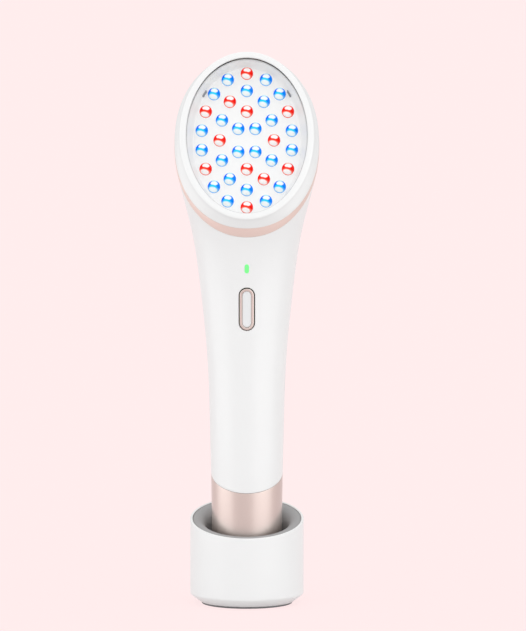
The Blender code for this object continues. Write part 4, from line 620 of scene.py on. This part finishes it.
def equal_steps(count, oval, samples=3601):
    """Angles from the top at which places lie the same arc length apart round an ellipse."""
    turn = np.linspace(0, math.tau, samples)
    step = np.hypot(np.diff(oval[0] * np.sin(turn)), np.diff(oval[1] * np.cos(turn)))
    travelled = np.concatenate([[0.0], np.cumsum(step)])
    return np.interp(travelled[-1] * np.arange(count) / count, travelled, turn)


# Each ring has its lamps' angles from the top, its oval, and the numbers of its red lamps.
inner_turns = np.radians([0.0, 66.4, 113.6, 180.0, 246.4, 293.6])
lamp_rings = {
    "outer": (equal_steps(18, OUTER_OVAL), OUTER_OVAL, (0, 3, 6, 9, 12, 15)),
    "middle": (equal_steps(12, MIDDLE_OVAL), MIDDLE_OVAL, (3, 5, 9, 11)),
    "inner": (inner_turns, INNER_OVAL, (0, 3)),
}


def lamp_grid(places, profile, columns=SMALL_COLUMNS):
    """Rows of a turned shape standing square to the face at each place (x, y), as one stack of grids.

    Each (r, depth) of the profile is the circle x + r cos a, y + r sin a at that depth.
    """
    radius, depth = np.asarray(profile, float).T[:, :, None]
    turn = np.linspace(0, math.tau, columns + 1)
    x, y = np.asarray(places, float).T[:, :, None, None]
    return on_face(x + radius * np.cos(turn), y + radius * np.sin(turn), depth)


def on_ovals(turns, oval, inset=0.0):
    """Places at angles from the top of an ellipse, as x = a sin and y = b cos, drawn in by the inset."""
    return np.stack([(oval[0] - inset) * np.sin(turns), (oval[1] - inset) * np.cos(turns)], axis=-1)


def painted_shade_copy(finish, name, *stops, reach=10.0):
    """A copy of a plastic, dimmed by each stop's share at its depth in mm under the face's plane.

    Between the stops the share runs evenly, and the last stop's share holds to the reach and beyond.
    The dimming is painted shade, standing in for the shade that falls there.
    """
    copy = finish.copy()
    copy.name = name
    tree = copy.node_tree
    inwards = (0.0, MM_PER_METRE * math.cos(FACE_TILT), -MM_PER_METRE * math.sin(FACE_TILT))
    face_plane = FACE_Y * math.cos(FACE_TILT) - FACE_Z * math.sin(FACE_TILT)
    depth = add(tree, "VectorMath", {0: add(tree, "TexCoord").outputs["Object"], 1: inwards},
                operation="DOT_PRODUCT")
    share = add(tree, "MapRange", {"From Min": face_plane, "From Max": face_plane + reach,
                                   "Value": depth.outputs["Value"]})
    painted_shade_tone = ramp(tree, share.outputs["Result"], *((under / reach, (dimmed,) * 3) for under, dimmed in stops))
    colour = tree.nodes["Principled BSDF"].inputs["Base Color"]
    mix = add(tree, "Mix", {"Factor": 1.0, 6: colour.links[0].from_socket, 7: painted_shade_tone},
              data_type="RGBA", blend_type="MULTIPLY")
    tree.links.new(mix.outputs[2], colour)
    return copy


tray_profile = rounded([
    (0, 0, TRAY_BACK), (TRAY_OVAL[0] + TRAY_WALL, TRAY_OVAL[1] + TRAY_WALL, TRAY_BACK),
    (TRAY_TOP_OVAL[0] + TRAY_EDGE, TRAY_TOP_OVAL[1] + TRAY_EDGE, TRAY_TOP_DEPTH),
    (*TRAY_TOP_OVAL, TRAY_TOP_DEPTH), (*TRAY_OVAL, TRAY_DEPTH), (0, 0, TRAY_DEPTH),
], TRAY_ROUNDINGS)
tray = skin("reflector_tray_white", round_face(face_rows(tray_profile[:, :2], tray_profile[:, 2:], 0, 2)))
lamp_places = np.concatenate([on_ovals(turns, oval) for turns, oval, reds in lamp_rings.values()])
cut(tray, skin("lamp_holes", lamp_grid(lamp_places, LAMP_HOLE, LAMP_HOLE_COLUMNS)))
white_tray = moulded("bright_white_tray", (0.885, 0.89, 0.89), 0.5, 0.004, 0.4, 0.002)
# Painted shade: the wall darkens towards its top edge, under the bezel's rim.
painted_shade_tray = painted_shade_copy(white_tray, "painted_shade_white_tray", (1.5, 0.66), (1.8, 0.84), (2.5, 1.0))
fit(tray, painted_shade_tray, "device", "white_tray", "reflector_tray")
tray_posts = skin("tray_posts", lamp_grid(TRAY_POSTS, TRAY_POST))
tray_posts.data.materials.append(white_tray)
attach(tray_posts, "device")

# Tray clips: two small grey moulded clips pushed into slots of the tray's wall, high on each side.
# Above the tray's floor they lean outwards with its wall.
CLIP_TURN, CLIP_WIDTH, CLIP_LENGTH, CLIP_LEAN = math.radians(50.5), 0.9, 3.1, 0.4
CLIP, CLIP_ROUNDINGS = ((0.4, -11.1), (0, -11.1), (0, -6.4), (0.4, -6.4)), (0, 0.1, 0.2, 0)
CLIP_SHIFT = CLIP_WIDTH / 6
clip_plastic = moulded("smoked_grey_clip", (0.25, 0.265, 0.295), 0.3, 0.1, 0.8, 0.004)
clip_rows = capsule(CLIP_WIDTH, CLIP_LENGTH, rounded(CLIP, CLIP_ROUNDINGS))
clip_x, clip_y = TRAY_OVAL[0] * math.sin(CLIP_TURN), TRAY_OVAL[1] * math.cos(CLIP_TURN)
clip_lean = math.atan2(-TRAY_OVAL[1] * math.sin(CLIP_TURN), TRAY_OVAL[0] * math.cos(CLIP_TURN))
for side, mirror in (("left", -1), ("right", 1)):
    turn = clip_lean * mirror
    out = clip_rows[..., 0] - CLIP_SHIFT + CLIP_LEAN * np.clip(clip_rows[..., 2] + TRAY_DEPTH, 0, None)
    x = clip_x * mirror + clip_rows[..., 1] * math.cos(turn) - out * math.sin(turn)
    y = clip_y + clip_rows[..., 1] * math.sin(turn) + out * math.cos(turn)
    clip = skin(f"grey_clip_{side}", on_face(x, y, -clip_rows[..., 2]))
    fit(clip, clip_plastic, "device", "clip_grey", f"tray_clip_{side}")

# Lamps: 24 blue and 12 red domed lamps of clear cast resin, in three oval rings. Each ring's blue
# lamps stand on a common wire in front of the board, its red ones on a wire behind it.
# The resin shows a bright upper and lower lobe with a pale fringe, painted highlights, and its colour
# is deepest at the left rim. Lit as they are, the lamps throw no coloured light on the tray.
LAMP_RADIUS, LAMP_CENTRE_DEPTH, DOME_POINTS = 2.6, 6.5, 13
LAMP_FOOT = ((2.5, 7.2), (2.1, 8.0), (2.1, 10.0), (0.8, 10.0))
STUB_RADIUS, BLUE_STUB_DEPTH, RED_STUB_DEPTH = 0.8, 10.89, 10.1
LEAD = ((0, 9.4), (0.35, 9.4), (0.35, 13.3), (0, 13.3))
LEAD_COLUMNS, RED_INSET = 12, 1.5
WIRE_RADIUS, BLUE_WIRE_DEPTH, RED_WIRE_DEPTH = 0.35, 10.75, 13.25
WIRE_POINTS, WIRE_STEPS = 97, 9
VIEW_RISE = FACE_TILT - math.radians(6.457)


def lens_places(piece, places):
    """Write each point's place on its lamp, in lamp radii across and up as the lamp is looked at.

    Up is the height along the face times the cosine of the view's rise over the face, plus the
    height out of the face times its sine.
    """
    points = np.empty(len(piece.data.vertices) * 3)
    piece.data.vertices.foreach_get("co", points)
    x, y, z = points.reshape(-1, 3).T * MM_PER_METRE
    up = (y - FACE_Y) * math.sin(FACE_TILT) + (z - FACE_Z) * math.cos(FACE_TILT)
    depth = (y - FACE_Y) * math.cos(FACE_TILT) - (z - FACE_Z) * math.sin(FACE_TILT)
    nearest = np.argmin(np.hypot(x[:, None] - places[:, 0], up[:, None] - places[:, 1]), axis=1)
    across = (x - places[nearest, 0]) / LAMP_RADIUS
    rise = ((up - places[nearest, 1]) * math.cos(VIEW_RISE)
            + (LAMP_CENTRE_DEPTH - depth) * math.sin(VIEW_RISE)) / LAMP_RADIUS
    lens = piece.data.attributes.new("lens", "FLOAT_VECTOR", "POINT")
    lens.data.foreach_set("vector", np.stack([across, rise, x * 0], axis=-1).ravel())


def resin(name, left, right, band, rim, highlight_fringe, pale):
    """Lit clear resin: deep colour at the left rim, a bright band across, pale painted highlights above and
    below.
    """
    finish = bpy.data.materials.new(name)
    finish.use_nodes = True
    tree = finish.node_tree
    lens = add(tree, "Attribute", attribute_name="lens").outputs["Vector"]

    def laid_over(below, colour, centre, size, edge, tilt=0.0):
        """The colour below with another laid over it in a tilted ellipse, fading at its edge."""
        move = add(tree, "Mapping", {"Location": (*centre, 0.0), "Rotation": (0.0, 0.0, math.radians(tilt)),
                                     "Scale": (*size, 1.0), "Vector": lens}, vector_type="TEXTURE")
        away = add(tree, "VectorMath", {0: move.outputs["Vector"]}, operation="LENGTH").outputs["Value"]
        amount = add(tree, "MapRange", {"From Min": 1 + edge, "From Max": 1 - edge, "Value": away},
                     interpolation_type="SMOOTHSTEP").outputs["Result"]
        return add(tree, "Mix", {"Factor": amount, 6: below, 7: (*colour, 1.0)},
                   data_type="RGBA").outputs[2]

    across = add(tree, "SeparateXYZ", {"Vector": lens}).outputs["X"]
    spread = add(tree, "MapRange", {"From Min": -0.8, "From Max": 0.9, "Value": across})
    colour = ramp(tree, spread.outputs["Result"], (0.0, left), (1.0, right))
    # The fringe and pale patches laid over here are painted highlights.
    for patch in ((rim, (-0.06, -0.50), (1.0, 0.55), 0.14, -12.0),
                  (highlight_fringe, (0.05, 0.90), (0.42, 0.13), 0.4),
                  (pale, (0.04, 0.52), (0.55, 0.31), 0.16, -3.0),
                  (band, (-0.13, 0.02), (0.58, 0.30), 0.3, -12.0),
                  (highlight_fringe, (-0.13, -0.43), (0.71, 0.43), 0.16, -16.0),
                  (pale, (-0.13, -0.45), (0.62, 0.37), 0.2, -16.0)):
        colour = laid_over(colour, *patch)
    feed(tree, tree.nodes["Principled BSDF"], {
        "Base Color": colour, "Emission Color": colour, "Emission Strength": 0.09, "Roughness": 0.12,
        "Specular IOR Level": 0.05})
    return finish


# Each resin's last two colours, its fringe and its pale lobes, are painted highlights.
resins = {
    "blue": resin("lit_blue_resin_painted_highlights", (0.0, 0.15, 0.95), (0.0, 0.23, 0.95), (0.02, 0.62, 0.93),
                  (0.10, 0.38, 0.92), (0.32, 0.74, 0.94), (0.85, 0.89, 0.90)),
    "red": resin("lit_red_resin_painted_highlights", (0.90, 0.007, 0.002), (0.88, 0.010, 0.004), (0.91, 0.04, 0.02),
                 (0.93, 0.09, 0.06), (0.93, 0.42, 0.34), (0.90, 0.88, 0.88)),
}
dome_turn = np.linspace(0, math.pi / 2, DOME_POINTS)
dome = np.stack([LAMP_RADIUS * np.sin(dome_turn), LAMP_CENTRE_DEPTH - LAMP_RADIUS * np.cos(dome_turn)],
                axis=-1)
around, section = np.linspace(0, math.tau, WIRE_POINTS), np.linspace(0, math.tau, WIRE_STEPS)
outwards = np.stack([np.sin(around), np.cos(around)], axis=-1)[:, None, :]
for ring, (turns, oval, reds) in lamp_rings.items():
    for colour, stub_depth, wire_depth, inset in (("blue", BLUE_STUB_DEPTH, BLUE_WIRE_DEPTH, 0.0),
                                                  ("red", RED_STUB_DEPTH, RED_WIRE_DEPTH, RED_INSET)):
        chosen = [i for i in range(len(turns)) if (i in reds) == (colour == "red")]
        body = np.vstack([dome, LAMP_FOOT, [(STUB_RADIUS, stub_depth), (0.0, stub_depth)]])
        places = on_ovals(turns[chosen], oval)
        grids = [lamp_grid(places, body)]
        if colour == "red":
            grids.append(lamp_grid(on_ovals(turns[chosen], oval, inset), LEAD, LEAD_COLUMNS))
        across = on_ovals(around, oval, inset)[:, None, :] + (
            WIRE_RADIUS * np.cos(section)[None, :, None] * outwards)
        grids.append(on_face(across[..., 0], across[..., 1],
                             wire_depth + WIRE_RADIUS * np.sin(section)[None, :]))
        lamps = skin(f"{ring}_{colour}_domes", *grids)
        lens_places(lamps, places)
        lamps.visible_diffuse = False
        fit(lamps, resins[colour], "device", f"lamp_{colour}", f"{ring}_{colour}_lamps")

# Bezel: the white rim round the light window, moulded in one piece with the barrel side that runs
# down to the gold ring. The rim is nearly flat, with a rounded inner edge over the tray. Painted shade
# darkens the inner edge and the side just under the rim's outer edge, and the rest of the side less.
WINDOW_OVAL, RIM_WIDTH, RIM_SAG, SAG_POWER = np.array((24.8, 33.7)), 2.5, 0.16, 6
INNER_EDGE, EDGE_POINTS, CROWN_POINTS = 0.5, 7, 12
BARREL_DEPTH, BARREL_GAIN, BARREL_DROP, BARREL_POWER = 3.84, np.array((2.2, 1.0)), 1.8, 2.15
BARREL_POINTS, BARREL_SPACING, BARREL_BULGE = 25, 1.3, 1.6
HIDDEN_ROWS = ((24.8, 33.7, 0.7, 0, 2), (24.9, 33.8, 0.9, 0, 2), (25.6, 34.5, 1.1, 0, 2),
               (26.0, 34.8, 1.5, 0, 2), (28.5, 36.2, BARREL_DEPTH, BARREL_DROP, BARREL_POWER))
HEAD_COLUMNS = 320
share = np.linspace(1, 0, BARREL_POINTS)[:, None] ** BARREL_SPACING
gain = 1 - (1 - share) ** BARREL_BULGE
barrel = face_rows(WINDOW_OVAL + RIM_WIDTH + BARREL_GAIN * gain, RIM_SAG + (BARREL_DEPTH - RIM_SAG) * share,
                   BARREL_DROP * share, 2 + (BARREL_POWER - 2) * share)
crown = np.linspace(0, 1, CROWN_POINTS)[1:-1, None]
rim_top = face_rows(WINDOW_OVAL + RIM_WIDTH - crown * (RIM_WIDTH - INNER_EDGE),
                    RIM_SAG * (1 - crown) ** SAG_POWER, 0, 2)
roll = np.linspace(0, math.pi / 2, EDGE_POINTS)[:, None]
inner_edge = face_rows(WINDOW_OVAL + INNER_EDGE * (1 - np.sin(roll)), INNER_EDGE * (1 - np.cos(roll)), 0, 2)
bezel_rows = np.vstack([barrel, rim_top, inner_edge, HIDDEN_ROWS, barrel[:1]])
bezel = skin("window_bezel", round_face(bezel_rows, HEAD_COLUMNS))
# Painted shade by depth under the face: darkest at 0.45 mm, on the inner edge and the side's top.
painted_shade_rim_plastic = painted_shade_copy(white_plastic, "satin_white_rim_painted_shade", (0.15, 1.0), (0.45, 0.87), (1.3, 0.93), (3.8, 0.975))
fit(bezel, painted_shade_rim_plastic, "device", "white_shell", "head_bezel")

# Gold ring: a thin metal band, plated in a pale rose gold and held between bezel and casing. It is a
# little bulged, and its half height, drop and power run evenly from the bezel's to the casing's.
RING_TOP, RING_LOW, RING_TOP_HALF_HEIGHT, RING_START, RING_SPAN = 3.94, 7.88, 37.2, 3.9, 4.0
RING_SECTION = ((0, RING_TOP), (-0.15, 5.9), (0, RING_LOW), (1.1, RING_LOW), (1.1, RING_TOP), (0, RING_TOP))
RING_ROUNDINGS = (0, 1.2, 0.12, 0, 0, 0)
inset, depth = rounded(RING_SECTION, RING_ROUNDINGS).T
down = (depth - RING_START) / RING_SPAN
trim_rows = np.stack([
    RING_HALF_WIDTH - inset,
    RING_TOP_HALF_HEIGHT + (RING_LOW_HALF_HEIGHT - RING_TOP_HALF_HEIGHT) * down - inset, depth,
    BARREL_DROP + (RING_LOW_DROP - BARREL_DROP) * down,
    BARREL_POWER + (RING_LOW_POWER - BARREL_POWER) * down], axis=-1)
trim = skin("rose_gold_trim", round_face(trim_rows, HEAD_COLUMNS))
ring_gold = metal("pale_rose_gold", (0.78, 0.69, 0.635), 0.48, 0.25, 0.003)
fit(trim, ring_gold, "device", "rose_gold", "trim_ring")

# Setting: a pale pink floor, an even white surround that is brighter above and before the object, and
# two tall soft lights at the sides, which only show as reflections. Looked at or mirrored, the floor
# glows evenly for nine tenths, and the rest is matt and keeps the object's soft shadow.
FLOOR_HALF_SIZE, FLOOR_HEIGHT, GLOWING_SHARE = 9000, -0.02, 0.9
floor_points = np.stack(np.meshgrid((-FLOOR_HALF_SIZE, FLOOR_HALF_SIZE), (-FLOOR_HALF_SIZE, FLOOR_HALF_SIZE),
                                    (FLOOR_HEIGHT,), indexing="ij"), axis=-1)[:, :, 0]
floor = skin("floor", floor_points)
if floor.data.polygons[0].normal.z < 0:
    floor.data.flip_normals()
pink = bpy.data.materials.new("pale_pink_floor")
pink.use_nodes = True
tree = pink.node_tree
tree.nodes.remove(tree.nodes["Principled BSDF"])
matt = add(tree, "BsdfDiffuse", {"Color": (0.83, 0.815, 0.815, 1.0)})
seen = add(tree, "Emission", {"Color": (1.0, 0.82, 0.82, 1.0), "Strength": 1.03})
rays = add(tree, "LightPath").outputs
some = add(tree, "Math", {0: rays["Is Camera Ray"], 1: rays["Is Glossy Ray"]}, operation="MAXIMUM")
every = add(tree, "Math", {0: some.outputs[0], 1: rays["Is Transmission Ray"]}, operation="MAXIMUM")
part = add(tree, "Math", {0: every.outputs[0], 1: GLOWING_SHARE}, operation="MULTIPLY")
blend = add(tree, "MixShader", {"Fac": part.outputs[0], 1: matt.outputs["BSDF"], 2: seen.outputs["Emission"]})
feed(tree, tree.nodes["Material Output"], {"Surface": blend.outputs["Shader"]})
floor.data.materials.append(pink)

world = bpy.data.worlds.new("even_surround")
bpy.context.scene.world = world
world.use_nodes = True
tree = world.node_tree
upward = add(tree, "VectorMath", {0: add(tree, "TexCoord").outputs["Generated"], 1: (0.0, -0.6, 0.8)},
             operation="DOT_PRODUCT")
level = add(tree, "MapRange", {"From Min": -1.0, "From Max": 1.0, "To Min": 0.44, "To Max": 1.28,
                               "Value": upward.outputs["Value"]})
surround = tree.nodes["Background"]
feed(tree, surround, {"Color": (1.0, 1.0, 1.0, 1.0), "Strength": level.outputs["Result"]})
far_pink = add(tree, "Background", {"Color": (1.0, 0.84, 0.84, 1.0)})
blend = add(tree, "MixShader", {"Fac": add(tree, "LightPath").outputs["Is Camera Ray"],
                                1: surround.outputs["Background"], 2: far_pink.outputs["Background"]})
feed(tree, tree.nodes["World Output"], {"Surface": blend.outputs["Shader"]})

for name, azimuth, distance, height, size, energy in (
        ("left_soft_light", -76.0, 0.3, 0.25, (0.34, 0.5), 0.69),
        ("right_soft_light", 52.0, 0.3, 0.25, (0.36, 0.5), 0.73)):
    light = bpy.data.lights.new(name, "AREA")
    light.shape = "RECTANGLE"
    light.size, light.size_y = size
    light.energy = energy
    panel = bpy.data.objects.new(name, light)
    bpy.context.scene.collection.objects.link(panel)
    turn = math.radians(azimuth)
    panel.location = (distance * math.sin(turn), -distance * math.cos(turn), height)
    panel.rotation_euler = (math.radians(90.0), 0.0, turn)
    panel.visible_camera = False
    panel.visible_diffuse = False

# Camera: a long lens 3.6 m off that looks a little down, so that the object is seen almost square on
# and its upright lines stay upright.
LOOKING_DOWN = math.radians(6.454)
camera = bpy.data.objects.new("camera", bpy.data.cameras.new("camera"))
bpy.context.scene.collection.objects.link(camera)
camera.data.sensor_width = 36.0
camera.data.lens = 504.2
camera.data.clip_end = 60.0
camera.location = (0.0066, -3.6, 0.526)
camera.rotation_euler = (math.pi / 2 - LOOKING_DOWN, 0.0, 0.0)
bpy.context.scene.camera = camera
bpy.context.scene.view_settings.view_transform = "Standard"
